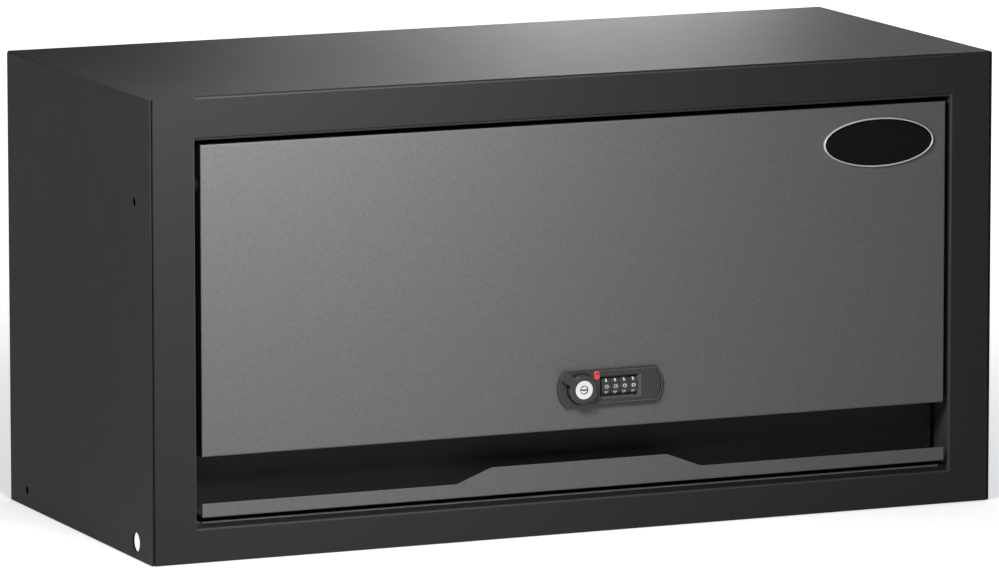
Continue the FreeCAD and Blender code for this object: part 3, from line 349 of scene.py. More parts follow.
# %% [markdown]
# The lock is moulded in black plastic with a fine spark-eroded texture. The badge and the red
# window are smooth, the bushes are black nylon, and the stops have rubber buffers. The pivot
# bolts are blackened in an oil bath, which leaves a dull skin with the look of matt plastic.
# %% Plastics and rubber
def moulded(name, colour, roughness, grain, height, gloss=0.3):
    graph, shader, place = start_finish(name, colour, roughness, gloss=gloss)
    dark = tuple(part * 0.88 for part in colour)
    light = tuple(part * 1.12 for part in colour)
    mottled_colour(graph, shader, place, dark, light, scale=350.0)
    varied_roughness(graph, shader, place, roughness - 0.04, roughness + 0.04, scale=200.0)
    fine_bump(graph, shader, place, scale=grain, height=height, strength=0.4)


moulded("lock_black", (0.045, 0.046, 0.046), 0.42, 3000.0, 0.03 * MM)
moulded("knob_black", (0.05, 0.052, 0.05), 0.4, 3000.0, 0.03 * MM)
moulded("dial_black", (0.06, 0.062, 0.062), 0.35, 3000.0, 0.02 * MM)
# A lighter grey that paints the highlight on the lock plate's bead.
moulded("bead_painted_highlight", (0.13, 0.13, 0.13), 0.35, 3000.0, 0.02 * MM, 0.4)
# Near black that paints the shade in the rail's crease, the access holes and the lock plate's
# groove.
moulded("painted_shade_black", (0.006, 0.006, 0.006), 0.6, 3000.0, 0.02 * MM, 0.1)
moulded("number_white", (0.72, 0.72, 0.71), 0.5, 2500.0, 0.01 * MM)
# A lighter grey that paints the light falling on the dial window's slopes.
moulded("slope_painted_light", (0.085, 0.085, 0.085), 0.45, 3000.0, 0.02 * MM)
moulded("signal_red", (0.85, 0.09, 0.1), 0.25, 1500.0, 0.01 * MM)
moulded("red_shade", (0.16, 0.008, 0.012), 0.3, 1500.0, 0.01 * MM)
# A dark grey that paints the shade in the key plug's groove.
moulded("plug_groove_painted_shade", (0.07, 0.07, 0.07), 0.5, 2500.0, 0.01 * MM, 0.2)
moulded("bush_nylon", (0.006, 0.006, 0.006), 0.7, 1800.0, 0.02 * MM, 0.05)
moulded("black_oxide", (0.008, 0.008, 0.009), 0.6, 1500.0, 0.02 * MM, 0.08)
moulded("socket_black", (0.015, 0.015, 0.016), 0.5, 2200.0, 0.03 * MM)
moulded("buffer_rubber", (0.02, 0.02, 0.02), 0.8, 1500.0, 0.06 * MM)
moulded("badge_black", (0.008, 0.008, 0.0075), 0.3, 1200.0, 0.01 * MM, 0.04)
moulded("tube_black", (0.012, 0.012, 0.013), 0.3, 900.0, 0.02 * MM)
print("finishes in all:", len(FINISHES))

# %% [markdown]
# Each part of the model now gets its finish. The list goes by what the part is made of, and a
# check at the end makes sure that no part keeps the plain colour it was loaded with.
# %% Give every part its finish
DIALS = 4
FINISH_OF = {
    "body_coat": ["body_shell"],
    "liner_coat": ["back_panel", "floor_panel"],
    "frame_coat": ["left_stile", "right_stile", "top_rail", "bottom_rail"],
    "pan_coat": ["door_inner_pan"],
    "inner_coat": ["strut_foot_brackets", "strut_head_brackets", "door_stops",
                   "lock_strike"],
    "flap_paint": ["door_front_panel", "pull_strip"],
    "black_oxide": ["pivot_bolts"],
    "zinc_plate": ["upper_wall_rail", "lower_wall_rail", "pivot_nuts",
                   "strut_foot_studs", "strut_head_studs", "foot_bracket_rivets",
                   "head_bracket_rivets", "lock_screws", "dial_axle", "lock_cam", "cam_nut"],
    "lock_black": ["lock_plate", "lock_case"],
    "knob_black": ["lock_knob"],
    "plug_chrome": ["key_plug"],
    "dial_black": ["number_dial_%d" % number for number in range(1, DIALS + 1)],
    "signal_red": ["status_indicator"],
    "bush_nylon": ["pivot_bushes"],
    "buffer_rubber": ["stop_buffers"],
    "badge_black": ["badge_plate"],
    "rim_silver": ["badge_rim"],
    "tube_black": ["left_strut_tube", "right_strut_tube"],
    "rod_chrome": ["left_strut_rod", "right_strut_rod"],
    "socket_black": ["%s_strut_%s_socket" % (side, end)
                     for side in ("left", "right") for end in ("foot", "head")],
}


def wear(piece, finish_name):
    piece.data.materials.clear()
    piece.data.materials.append(FINISHES[finish_name])


finished = set()
for finish_name, members in FINISH_OF.items():
    for member in members:
        wear(nodes[member], finish_name)
        finished.add(member)
print("without a finish:", sorted(set(nodes) - finished))

# %% [markdown]
# A dial carries ten numbers. On the real drum they are printed, or moulded and filled with
# white. Drawing their shapes point by point would be slow, and a text object already has them,
# so each number is made as text, turned into a flat mesh and brought to its real size.
# %% The ten numbers
NUMBER_HEIGHT = 2.9 * MM
NUMBER_WIDTH = 3.0 * MM
NARROW_ONE = 0.45
STROKE_GROWTH = 0.01
DIGITS = 10


def number_mesh(digit):
    """One digit as a flat mesh of the given size, centred on the origin."""
    curve = bpy.data.curves.new("digit_%d" % digit, "FONT")
    curve.body = str(digit)
    curve.offset = STROKE_GROWTH
    curve.resolution_u = 4
    source = bpy.data.objects.new("digit_source", curve)
    bpy.context.scene.collection.objects.link(source)
    bpy.context.view_layer.update()
    evaluated = source.evaluated_get(bpy.context.evaluated_depsgraph_get())
    mesh = bpy.data.meshes.new_from_object(evaluated)
    bpy.data.objects.remove(source)
    low = Vector([min(v.co[i] for v in mesh.vertices) for i in range(3)])
    high = Vector([max(v.co[i] for v in mesh.vertices) for i in range(3)])
    middle = (low + high) / 2
    wide = NUMBER_WIDTH * (NARROW_ONE if digit == 1 else 1.0)
    for vertex in mesh.vertices:
        vertex.co.x = (vertex.co.x - middle.x) / (high.x - low.x) * wide
        vertex.co.y = (vertex.co.y - middle.y) / (high.y - low.y) * NUMBER_HEIGHT
        vertex.co.z = 0
    return mesh


digit_meshes = [number_mesh(digit) for digit in range(DIGITS)]
print("flat numbers:", len(digit_meshes))


# %% [markdown]
# A new piece needs three things: a mesh whose faces all look outwards, a finish, and the body it
# rides on, so that it follows every joint.
# %% Placing a piece
def place_piece(name, mesh_source, finish_name, body):
    """Turn a bmesh into a piece with a finish and the body it rides on."""
    bmesh.ops.recalc_face_normals(mesh_source, faces=mesh_source.faces)
    mesh = bpy.data.meshes.new(name)
    mesh_source.to_mesh(mesh)
    mesh_source.free()
    piece = bpy.data.objects.new(name, mesh)
    bpy.context.scene.collection.objects.link(piece)
    wear(piece, finish_name)
    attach(piece, body)
    return piece


# %% [markdown]
# The flat numbers are bent round the drum: across the drum stays as it is, and up the text
# becomes an angle. They are split finely first, because a long face can't bend, and each gets a
# thickness of about a tenth of a millimetre, so that it stands a little proud as fresh paint does.
# %% Numbers round the dials
NUMBER_THICKNESS = 0.12 * MM
NUMBER_SINK = 0.04 * MM


def drum_numbers(dial_index, digits):
    """Bend the flat digits round one dial, give them a thickness and place them."""
    low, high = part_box("number_dial_%d" % dial_index)
    centre = (low + high) / 2
    radius = (high.z - low.z) / 2
    numbers = bmesh.new()
    for digit, source in enumerate(digits):
        part = bmesh.new()
        part.from_mesh(source)
        bmesh.ops.triangulate(part, faces=part.faces)
        for _ in range(2):
            bmesh.ops.subdivide_edges(part, edges=part.edges, cuts=1, use_grid_fill=True)
        bmesh.ops.solidify(part, geom=part.faces, thickness=NUMBER_THICKNESS)
        for vertex in part.verts:
            angle = 2 * math.pi * digit / DIGITS + vertex.co.y / radius
            reach = radius - NUMBER_SINK + abs(vertex.co.z)
            vertex.co = Vector((centre.x + vertex.co.x,
                                centre.y - reach * math.cos(angle),
                                centre.z + reach * math.sin(angle)))
        bent = bpy.data.meshes.new("bent")
        part.to_mesh(bent)
        part.free()
        numbers.from_mesh(bent)
        bpy.data.meshes.remove(bent)
    place_piece("dial_numbers_%d" % dial_index, numbers, "number_white",
                "dial_%d" % dial_index)


for dial_index in range(1, DIALS + 1):
    drum_numbers(dial_index, digit_meshes)
print("dials with numbers:", DIALS)

# %% [markdown]
# The next pieces are small trims that the plain solids don't show. Each one is built from points
# and faces with bmesh, so that its outline can be worked out from the parts it sits on. Three
# steps come again and again: a prism joins two copies of an outline, a bridge joins closed loops
# side by side, and a finished mesh gets its finish and its body.
# %% Helpers for the small pieces
def new_piece(name, mesh_source, finish_name, body):
    """Merge the points that meet, then place the piece."""
    bmesh.ops.remove_doubles(mesh_source, verts=mesh_source.verts, dist=1e-7)
    return place_piece(name, mesh_source, finish_name, body)


def prism(target, outline, start, end):
    """Join two copies of an outline, each given by a function from a point to its place."""
    first = [target.verts.new(start(p)) for p in outline]
    second = [target.verts.new(end(p)) for p in outline]
    target.faces.new(first)
    target.faces.new(reversed(second))
    for i in range(len(outline)):
        j = (i + 1) % len(outline)
        target.faces.new((first[j], first[i], second[i], second[j]))


def bridge(target, loops, to_first=False):
    """Join neighbouring closed loops with faces, and also the last to the first if asked."""
    following = loops[1:] + (loops[:1] if to_first else [])
    for here, there in zip(loops, following):
        for k in range(len(here)):
            m = (k + 1) % len(here)
            target.faces.new((here[k], here[m], there[m], there[k]))


def turns(count):
    """Angles of equal steps once round."""
    return [2 * math.pi * k / count for k in range(count)]


# %% [markdown]
# Each rail is butted between the stiles and welded. The weld is ground flush, so only a faint
# line is left where the rail's square end meets the stile's rounded fold. A small wedge with
# that fold's hollow on one side fills each joint. All four wedges are one mesh.
# %% Ground welds in the frame's corners
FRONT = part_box("left_stile")[0].y
FOLD = 1.5 * MM
WELD_SINK = 0.05 * MM
WELD_LIP = 0.2 * MM
ARC_STEPS = 6
TOP_RAIL_LIP = 2.4 * MM
BOTTOM_FACE_TOP = 25.2 * MM


def frame_welds():
    """A wedge at both ends of both rails: straight at the rail, hollow at the stile's fold."""
    low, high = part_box("top_rail")
    wedge = [(0.0, WELD_SINK), (0.0, FOLD)]
    for step in range(ARC_STEPS):
        angle = math.radians(90 * step / ARC_STEPS)
        wedge.append((-FOLD + FOLD * math.cos(angle), FOLD - FOLD * math.sin(angle)))
    wedge.append((-FOLD + WELD_LIP, WELD_SINK))
    welds = bmesh.new()
    for side in (-1, 1):
        for bottom, top in ((low.z + TOP_RAIL_LIP, high.z), (0.0, BOTTOM_FACE_TOP - FOLD)):
            def at(z):
                return lambda p: Vector((side * (high.x - p[0]), FRONT + p[1], z))
            prism(welds, wedge, at(bottom), at(top))
    new_piece("frame_welds", welds, "frame_coat", "cabinet")


frame_welds()
print("corner welds: 4")

# %% [markdown]
# The top rail's lower fold is a separate bend, and a fine crease shows on the face just above
# it. It is modelled as a hairline groove filled with shade: a strip less than half a millimetre
# high that stands a few hundredths proud, so that it never fights with the face behind it.
# %% Crease above the rail's fold
CREASE_HEIGHT = 0.45 * MM
CREASE_ABOVE = 2.0 * MM
CREASE_PROUD = 0.03 * MM
CREASE_DEPTH = 0.2 * MM


def rail_crease():
    low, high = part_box("top_rail")
    bottom = low.z + CREASE_ABOVE
    outline = [(-CREASE_PROUD, 0.0), (-CREASE_PROUD, CREASE_HEIGHT),
               (CREASE_DEPTH, CREASE_HEIGHT), (CREASE_DEPTH, 0.0)]
    strip = bmesh.new()
    prism(strip, outline, lambda p: Vector((low.x, FRONT + p[0], bottom + p[1])),
          lambda p: Vector((high.x, FRONT + p[0], bottom + p[1])))
    new_piece("top_rail_crease", strip, "painted_shade_black", "cabinet")


rail_crease()
print("crease:", round(CREASE_ABOVE / MM, 1), "mm above the rail's edge")

# %% [markdown]
# The back panel's flanges stop just short of the sides, and on the real cabinet that seam is
# filled before spraying, so no light comes through. A narrow bead with a rounded back fills it
# from the floor to the top on each side.
# %% Filled seams at the back
SEAM_FRONT = 2.4 * MM
SEAM_SHOULDER = 0.5 * MM
SEAM_CREST = 0.2 * MM
SEAM_CREST_HALF = 0.25 * MM
SEAM_BOTTOM = 0.5 * MM
SEAM_BELOW_TOP = 2.0 * MM
SEAM_OVER_PANEL = 0.1 * MM
SEAM_INTO_SIDE = 0.05 * MM


def back_seams():
    _, shell_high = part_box("body_shell")
    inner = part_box("back_panel")[1].x - SEAM_OVER_PANEL
    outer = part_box("floor_panel")[1].x + SEAM_INTO_SIDE
    back = shell_high.y
    middle = (inner + outer) / 2
    outline = [(inner, back - SEAM_FRONT), (inner, back - SEAM_SHOULDER),
               (middle - SEAM_CREST_HALF, back - SEAM_CREST),
               (middle + SEAM_CREST_HALF, back - SEAM_CREST),
               (outer, back - SEAM_SHOULDER), (outer, back - SEAM_FRONT)]
    seams = bmesh.new()
    for side in (-1, 1):
        prism(seams, outline, lambda p: Vector((side * p[0], p[1], SEAM_BOTTOM)),
              lambda p: Vector((side * p[0], p[1], shell_high.z - SEAM_BELOW_TOP)))
    new_piece("back_seams", seams, "body_coat", "cabinet")


back_seams()
print("filled seams at the back: 2")

# %% [markdown]
# The round access hole low in each side has a cut edge that lies in shade, and seen at a slant
# it makes a dark crescent inside the hole. A thin near-black ring lining the hole paints that
# shade. The ring is a short tube, and the two of them are one mesh.
# %% Painted shade rings in the access holes
HOLE_Y = FRONT + 33.5 * MM
HOLE_Z = 12.6 * MM
HOLE_RADIUS = 7.5 * MM
RING_WALL = 0.25 * MM
RING_PROUD = 0.05 * MM
RING_DEPTH = 1.4 * MM
HOLE_STEPS = 48


def hole_rings():
    side_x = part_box("body_shell")[1].x
    inner_radius = HOLE_RADIUS - RING_WALL
    rings = bmesh.new()
    for side in (-1, 1):
        loops = []
        for radius, depth in ((HOLE_RADIUS, -RING_PROUD), (HOLE_RADIUS, RING_DEPTH),
                              (inner_radius, RING_DEPTH), (inner_radius, -RING_PROUD)):
            loops.append([rings.verts.new((side * (side_x - depth),
                                           HOLE_Y + radius * math.cos(turn),
                                           HOLE_Z + radius * math.sin(turn)))
                          for turn in turns(HOLE_STEPS)])
        bridge(rings, loops, to_first=True)
    new_piece("access_hole_shade_rings", rings, "painted_shade_black", "cabinet")


hole_rings()
print("access hole rings: 2")

# %% [markdown]
# The oval badge is a thin pressed plate with a bright rim, left plain here. Rim and face follow
# the same oval, so one function gives its points for both, at any inset and height.
# %% Outline of the badge
BADGE_LOW, BADGE_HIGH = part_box("badge_rim")
BADGE_CENTRE = (BADGE_LOW + BADGE_HIGH) / 2
BADGE_BACK = BADGE_HIGH.y
BADGE_STEPS = 96


def oval(turn, inset, height, share=1.0):
    """A point on the badge's oval, some way in from the edge and up from the flap."""
    long_half = (BADGE_HIGH.x - BADGE_LOW.x) / 2 - inset
    short_half = (BADGE_HIGH.z - BADGE_LOW.z) / 2 - inset
    return Vector((BADGE_CENTRE.x + long_half * share * math.cos(turn), BADGE_BACK - height,
                   BADGE_CENTRE.z + short_half * share * math.sin(turn)))


print("badge: %.0f by %.0f mm" % ((BADGE_HIGH.x - BADGE_LOW.x) / MM,
                                  (BADGE_HIGH.z - BADGE_LOW.z) / MM))


# %% [markdown]
# The rim is a bead with a rounded top, swept round the oval. A curve with a round bevel could
# make it too. Here the section is higher than it is wide and stands on a short straight foot, so
# its points are worked out instead.
# %% Rim of the badge
BEAD_RADIUS = 0.62 * MM
BEAD_SEAT = 0.5 * MM
BEAD_RISE = 1.4 * MM
BEAD_STEPS = 8


def badge_rim():
    rim = bmesh.new()
    half_round = [math.pi * k / BEAD_STEPS for k in range(BEAD_STEPS + 1)]
    profile = [(0.0, 0.0)]
    profile += [(BEAD_RADIUS * (1 - math.cos(a)), BEAD_SEAT + BEAD_RISE * math.sin(a))
                for a in half_round]
    profile.append((2 * BEAD_RADIUS, 0.0))
    rings = [[rim.verts.new(oval(turn, inset, height)) for inset, height in profile]
             for turn in turns(BADGE_STEPS)]
    bridge(rim, rings, to_first=True)
    for face in rim.faces:
        face.smooth = True
    piece = new_piece("badge_rim_bead", rim, "rim_silver", "flap")
    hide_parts("badge_rim")


badge_rim()
print("rim bead: %.1f mm wide" % (2 * BEAD_RADIUS / MM))


# %% [markdown]
# The face is slightly domed, so a row of ovals rises towards the middle, fast at the edge and
# slowly at the top. The dome is what bends the reflection of the bright studio on it.
# %% Face of the badge
DOME_EDGE = 1.0 * MM
DOME_RISE = 0.55 * MM
DOME_RINGS = 10


def badge_face():
    dome = bmesh.new()
    inset = 1.5 * BEAD_RADIUS
    loops = [[dome.verts.new(oval(turn, inset, 0.0)) for turn in turns(BADGE_STEPS)]]
    for k in range(DOME_RINGS):
        share = 1 - k / DOME_RINGS
        height = DOME_EDGE + DOME_RISE * (1 - share ** 2)
        loops.append([dome.verts.new(oval(turn, inset, height, share))
                      for turn in turns(BADGE_STEPS)])
    bridge(dome, loops)
    tip = dome.verts.new(oval(0.0, inset, DOME_EDGE + DOME_RISE, 0.0))
    base = dome.verts.new(oval(0.0, inset, 0.0, 0.0))
    for i in range(BADGE_STEPS):
        j = (i + 1) % BADGE_STEPS
        dome.faces.new((loops[-1][i], loops[-1][j], tip))
        dome.faces.new((base, loops[0][j], loops[0][i]))
    for face in dome.faces:
        face.smooth = True
    piece = new_piece("badge_face", dome, "badge_black", "flap")
    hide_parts("badge_plate")


badge_face()
print("dome: %.2f mm high" % ((DOME_EDGE + DOME_RISE) / MM))

# %% [markdown]
# The lock's plate has a raised middle with a narrow rim round it. What shows of that from a
# little way off is a fine bead, in a lighter grey that paints its highlight along the top, and a
# dark groove inside it at the right end, which paints the shade that the raised middle casts
# there. Both follow the plate's outline, which is a circle at each end cut off straight above and
# below, so one function gives that outline at any inset.
# %% Outline of the lock plate
PLATE_LOW, PLATE_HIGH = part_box("lock_plate")
PLATE_FACE = PLATE_LOW.y
PLATE_MIDDLE = (PLATE_LOW.z + PLATE_HIGH.z) / 2
END_RADIUS = 18.9 * MM
RIGHT_CENTRE = PLATE_HIGH.x - END_RADIUS
HALF_HEIGHT = (PLATE_HIGH.z - PLATE_LOW.z) / 2
TRIM_START = 14.0 * MM
END_STEPS = 28


def plate_line(inset):
    """Points from the middle along the top, round the right end and back along the bottom."""
    radius = END_RADIUS - inset
    half = HALF_HEIGHT - inset
    widest = math.asin(half / radius)
    line = [(TRIM_START, half), (RIGHT_CENTRE, half)]
    for k in range(END_STEPS + 1):
        angle = widest * (1 - 2 * k / END_STEPS)
        line.append((RIGHT_CENTRE + radius * math.cos(angle), radius * math.sin(angle)))
    line += [(RIGHT_CENTRE, -half), (TRIM_START, -half)]
    return [(x, PLATE_MIDDLE + z) for x, z in line]


print("lock plate: %.1f by %.1f mm" % ((PLATE_HIGH.x - PLATE_LOW.x) / MM, 2 * HALF_HEIGHT / MM))


# %% [markdown]
# The bead is a rounded strip with six levels across, and its lighter grey paints a soft
# highlight on it. The groove is flat and nearly black, a painted shade, because hardly any light
# gets into a real groove of that width. Both could be cut into the plate, but strips laid on it
# leave the imported solid as it is.
# %% Bead and groove
BEAD_INSET = 0.9 * MM
BEAD_WIDTH = 0.5 * MM
BEAD_HEIGHT = 0.25 * MM
GROOVE_INSET = 1.5 * MM
GROOVE_WIDTH = 0.8 * MM
GROOVE_PROUD = 0.03 * MM
TRIM_SINK = 0.02 * MM


def strip_between(target, outer, inner, rise, levels):
    """A low strip on the plate between two lines: flat with one level, rounded with more."""
    rows = []
    for (outer_x, outer_z), (inner_x, inner_z) in zip(outer, inner):
        row = [target.verts.new((outer_x, PLATE_FACE + TRIM_SINK, outer_z))]
        for k in range(levels + 1):
            share = k / levels
            height = rise if levels == 1 else rise * math.sin(math.pi * share)
            row.append(target.verts.new((outer_x + (inner_x - outer_x) * share,
                                         PLATE_FACE - height,
                                         outer_z + (inner_z - outer_z) * share)))
        row.append(target.verts.new((inner_x, PLATE_FACE + TRIM_SINK, inner_z)))
        rows.append(row)
    bridge(target, rows)
    target.faces.new(rows[0])
    target.faces.new(reversed(rows[-1]))


def plate_bead():
    bead = bmesh.new()
    strip_between(bead, plate_line(BEAD_INSET), plate_line(BEAD_INSET + BEAD_WIDTH),
                  BEAD_HEIGHT, levels=6)
    new_piece("lock_plate_bead", bead, "bead_painted_highlight", "flap")


def plate_groove():
    groove = bmesh.new()
    round_the_end = slice(2, -2)
    strip_between(groove, plate_line(GROOVE_INSET)[round_the_end],
                  plate_line(GROOVE_INSET + GROOVE_WIDTH)[round_the_end],
                  GROOVE_PROUD, levels=1)
    new_piece("lock_plate_shade_groove", groove, "painted_shade_black", "flap")


plate_bead()
plate_groove()
print("lock plate trim: bead %.1f mm wide, groove %.1f mm wide"
      % (BEAD_WIDTH / MM, GROOVE_WIDTH / MM))

# %% [markdown]
# The window's right and bottom edges slope inwards to the dials, so that a thumb can reach them.
# They face the light, and a grey lighter than the plate's paints that light on them as a pale
# border. Each slope is a three-sided bar: it starts at the plate's face and ends a little behind
# it, clear of the turning dials.
# %% Slopes of the dial window
SLOPE_DEPTH = 1.6 * MM
SLOPE_PROUD = 0.02 * MM
DIAL_CLEARANCE = 0.25 * MM
WINDOW_LEFT = 14.9 * MM
WINDOW_RIGHT = 48.4 * MM
WINDOW_BOTTOM = 100.0 * MM
WINDOW_TOP = 117.3 * MM


def window_slopes():
    dial_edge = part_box("number_dial_4")[1].x + DIAL_CLEARANCE
    front = PLATE_FACE - SLOPE_PROUD
    behind = PLATE_FACE + SLOPE_DEPTH
    slopes = bmesh.new()
    right = [(dial_edge, behind), (WINDOW_RIGHT, front), (WINDOW_RIGHT, behind)]
    prism(slopes, right, lambda p: Vector((p[0], p[1], WINDOW_BOTTOM)),
          lambda p: Vector((p[0], p[1], WINDOW_TOP)))
    bottom = [(WINDOW_BOTTOM + SLOPE_DEPTH, behind), (WINDOW_BOTTOM, front),
              (WINDOW_BOTTOM, behind)]
    prism(slopes, bottom, lambda p: Vector((WINDOW_LEFT, p[1], p[0])),
          lambda p: Vector((WINDOW_RIGHT, p[1], p[0])))
    new_piece("window_slopes", slopes, "slope_painted_light", "flap")


window_slopes()
print("window slopes:", round(SLOPE_DEPTH / MM, 1), "mm deep")

# %% [markdown]
# The plug's face has a plain ring pressed into it round the key slot. That groove lies in shade,
# and a flat dark grey ring fills it as painted shade against the chrome. The ring rides with
# the key.
# %% Ring in the plug's groove
PLUG_RING_INNER = 2.75 * MM
PLUG_RING_OUTER = 3.3 * MM
PLUG_RING_DEPTH = 0.3 * MM
PLUG_RING_PROUD = 0.03 * MM
PLUG_RING_STEPS = 64


def plug_ring():
    low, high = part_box("key_plug")
    centre = (low + high) / 2
    ring = bmesh.new()
    loops = []
    for radius, depth in ((PLUG_RING_INNER, PLUG_RING_DEPTH), (PLUG_RING_INNER, -PLUG_RING_PROUD),
                          (PLUG_RING_OUTER, -PLUG_RING_PROUD), (PLUG_RING_OUTER, PLUG_RING_DEPTH)):
        loops.append([ring.verts.new((centre.x + radius * math.cos(turn), low.y + depth,
                                      centre.z + radius * math.sin(turn)))
                      for turn in turns(PLUG_RING_STEPS)])
    bridge(ring, loops, to_first=True)
    new_piece("key_plug_shade_ring", ring, "plug_groove_painted_shade", "key")


plug_ring()
print("ring in the plug: %.2f to %.2f mm radius" % (PLUG_RING_INNER / MM, PLUG_RING_OUTER / MM))

# %% [markdown]
# The red window beside the knob shows that the lock is shut. It is a small clear red cap with
# rounded corners, with a dark dimple in its upper half. The cap replaces the plain block: its
# outline is a rounded rectangle, and its front edge is rounded by smaller copies of that outline.
# %% Red window
CAP_CORNER = 1.7 * MM
CAP_EDGE = [(0.0, 0.7 * MM), (0.12 * MM, 0.35 * MM), (0.38 * MM, 0.1 * MM), (0.8 * MM, 0.0)]
DIMPLE_RADIUS = 0.75 * MM
DIMPLE_ABOVE = 1.35 * MM
DIMPLE_DEPTH = 0.5 * MM
DIMPLE_PROUD = 0.03 * MM
CAP_LOW, CAP_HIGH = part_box("status_indicator")
CAP_CENTRE = (CAP_LOW + CAP_HIGH) / 2


def rounded_rectangle(half_wide, half_high, radius):
    steps = 6
    line = []
    for start, side_x, side_z in ((0, 1, 1), (90, -1, 1), (180, -1, -1), (270, 1, -1)):
        for k in range(steps + 1):
            angle = math.radians(start + 90 * k / steps)
            line.append((side_x * (half_wide - radius) + radius * math.cos(angle),
                         side_z * (half_high - radius) + radius * math.sin(angle)))
    return line


def red_window():
    half_wide = (CAP_HIGH.x - CAP_LOW.x) / 2
    half_high = (CAP_HIGH.z - CAP_LOW.z) / 2
    cap = bmesh.new()
    sections = [(0.0, CAP_HIGH.y)] + [(inset, CAP_LOW.y + back) for inset, back in CAP_EDGE]
    loops = []
    for inset, y in sections:
        outline = rounded_rectangle(half_wide - inset, half_high - inset, CAP_CORNER - inset)
        loops.append([cap.verts.new((CAP_CENTRE.x + x, y, CAP_CENTRE.z + z)) for x, z in outline])
    bridge(cap, loops)
    cap.faces.new(loops[-1])
    cap.faces.new(reversed(loops[0]))
    piece = new_piece("red_window", cap, "signal_red", "flap")
    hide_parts("status_indicator")


def window_dimple():
    dimple = bmesh.new()
    outline = rounded_rectangle(DIMPLE_RADIUS, DIMPLE_RADIUS, DIMPLE_RADIUS)
    height = CAP_CENTRE.z + DIMPLE_ABOVE
    prism(dimple, outline,
          lambda p: Vector((CAP_CENTRE.x + p[0], CAP_LOW.y - DIMPLE_PROUD, height + p[1])),
          lambda p: Vector((CAP_CENTRE.x + p[0], CAP_LOW.y + DIMPLE_DEPTH, height + p[1])))
    new_piece("red_window_dimple", dimple, "red_shade", "flap")


red_window()
window_dimple()
print("red window with a dimple")

# %% [markdown]
# The studio is a pale floor that runs out of sight, an even dim sky, and a few soft lamps. The
# floor is lit like any other surface and keeps the cabinet's shadow. Camera, glossy and
# transmission rays see it brighter, so that it reads as white in the picture and in reflections
# without any more light on the cabinet. Near the cabinet the lamps do most of that work, and
# far away, where they don't reach, the lift does. Under the cabinet no lamp reaches the floor,
# and it shows only through the round access holes, so there the lift is full too. The floor can
# be seen through from below, so that the underside can be looked at.
# %% Floor
FLOOR_HALF = 30.0
FLOOR_DROP = 0.5 * MM
LIFT_NEAR = 0.55
LIFT_FAR = 1.0
NEAR_UP_TO = 0.5
FAR_FROM = 2.0
COVER_MARGIN = 10.0 * MM


def either_ray(graph, rays):
    """One for any of the named kinds of ray, and nothing for the others."""
    seen = graph.nodes.new("ShaderNodeLightPath")
    result = seen.outputs[rays[0]]
    for ray in rays[1:]:
        result = math_node(graph, "MAXIMUM", result, seen.outputs[ray])
    return result


def floor_lift(graph):
    """How much the floor is lifted: more far away, and fully under the cabinet."""
    place = graph.nodes.new("ShaderNodeTexCoord").outputs["Object"]
    away = graph.nodes.new("ShaderNodeVectorMath")
    away.operation = "LENGTH"
    graph.links.new(place, away.inputs[0])
    fade = add_node(graph, "ShaderNodeMapRange", From_Min=NEAR_UP_TO, From_Max=FAR_FROM,
                    To_Min=LIFT_NEAR, To_Max=LIFT_FAR)
    fade.interpolation_type = "SMOOTHSTEP"
    graph.links.new(away.outputs["Value"], fade.inputs["Value"])
    spot = graph.nodes.new("ShaderNodeSeparateXYZ")
    graph.links.new(place, spot.inputs["Vector"])
    covered = [math_node(graph, "LESS_THAN", math_node(graph, "ABSOLUTE", spot.outputs[axis]),
                         cad_box[1][index] - COVER_MARGIN)
               for index, axis in enumerate("XY")]
    under = math_node(graph, "MULTIPLY", covered[0], covered[1])
    return math_node(graph, "MAXIMUM", under, fade.outputs["Result"])


def floor_white():
    material = bpy.data.materials.new("floor_white")
    material.use_nodes = True
    graph = material.node_tree
    graph.nodes.clear()
    diffuse = add_node(graph, "ShaderNodeBsdfDiffuse", Color=(0.82, 0.82, 0.82, 1))
    glow = add_node(graph, "ShaderNodeEmission", Color=(1, 1, 1, 1))
    seen = either_ray(graph, ("Is Camera Ray", "Is Glossy Ray", "Is Transmission Ray"))
    graph.links.new(math_node(graph, "MULTIPLY", seen, floor_lift(graph)),
                    glow.inputs["Strength"])
    both = graph.nodes.new("ShaderNodeAddShader")
    graph.links.new(diffuse.outputs["BSDF"], both.inputs[0])
    graph.links.new(glow.outputs["Emission"], both.inputs[1])
    sides = graph.nodes.new("ShaderNodeMixShader")
    underneath = graph.nodes.new("ShaderNodeNewGeometry").outputs["Backfacing"]
    clear = graph.nodes.new("ShaderNodeBsdfTransparent")
    graph.links.new(underneath, sides.inputs["Fac"])
    graph.links.new(both.outputs["Shader"], sides.inputs[1])
    graph.links.new(clear.outputs["BSDF"], sides.inputs[2])
    out = graph.nodes.new("ShaderNodeOutputMaterial")
    graph.links.new(sides.outputs["Shader"], out.inputs["Surface"])
    return material


def pale_floor():
    corners = [(x * FLOOR_HALF, y * FLOOR_HALF, 0)
               for x, y in ((-1, -1), (1, -1), (1, 1), (-1, 1))]
    mesh = bpy.data.meshes.new("floor")
    mesh.from_pydata(corners, [], [(0, 1, 2, 3)])
    mesh.materials.append(floor_white())
    floor = bpy.data.objects.new("floor", mesh)
    floor.location.z = -FLOOR_DROP
    bpy.context.scene.collection.objects.link(floor)


pale_floor()
print("floor:", round(2 * FLOOR_HALF), "m across")

# %% [markdown]
# The sky is white where the camera looks past the floor, and low down in reflections, where a
# real studio has pale walls. Overhead it is dim, so that the painted steel stays dark.
# %% Sky
WHITE_BELOW = 0.02
DIM_ABOVE = 0.09
SKY_STRENGTH = 0.08


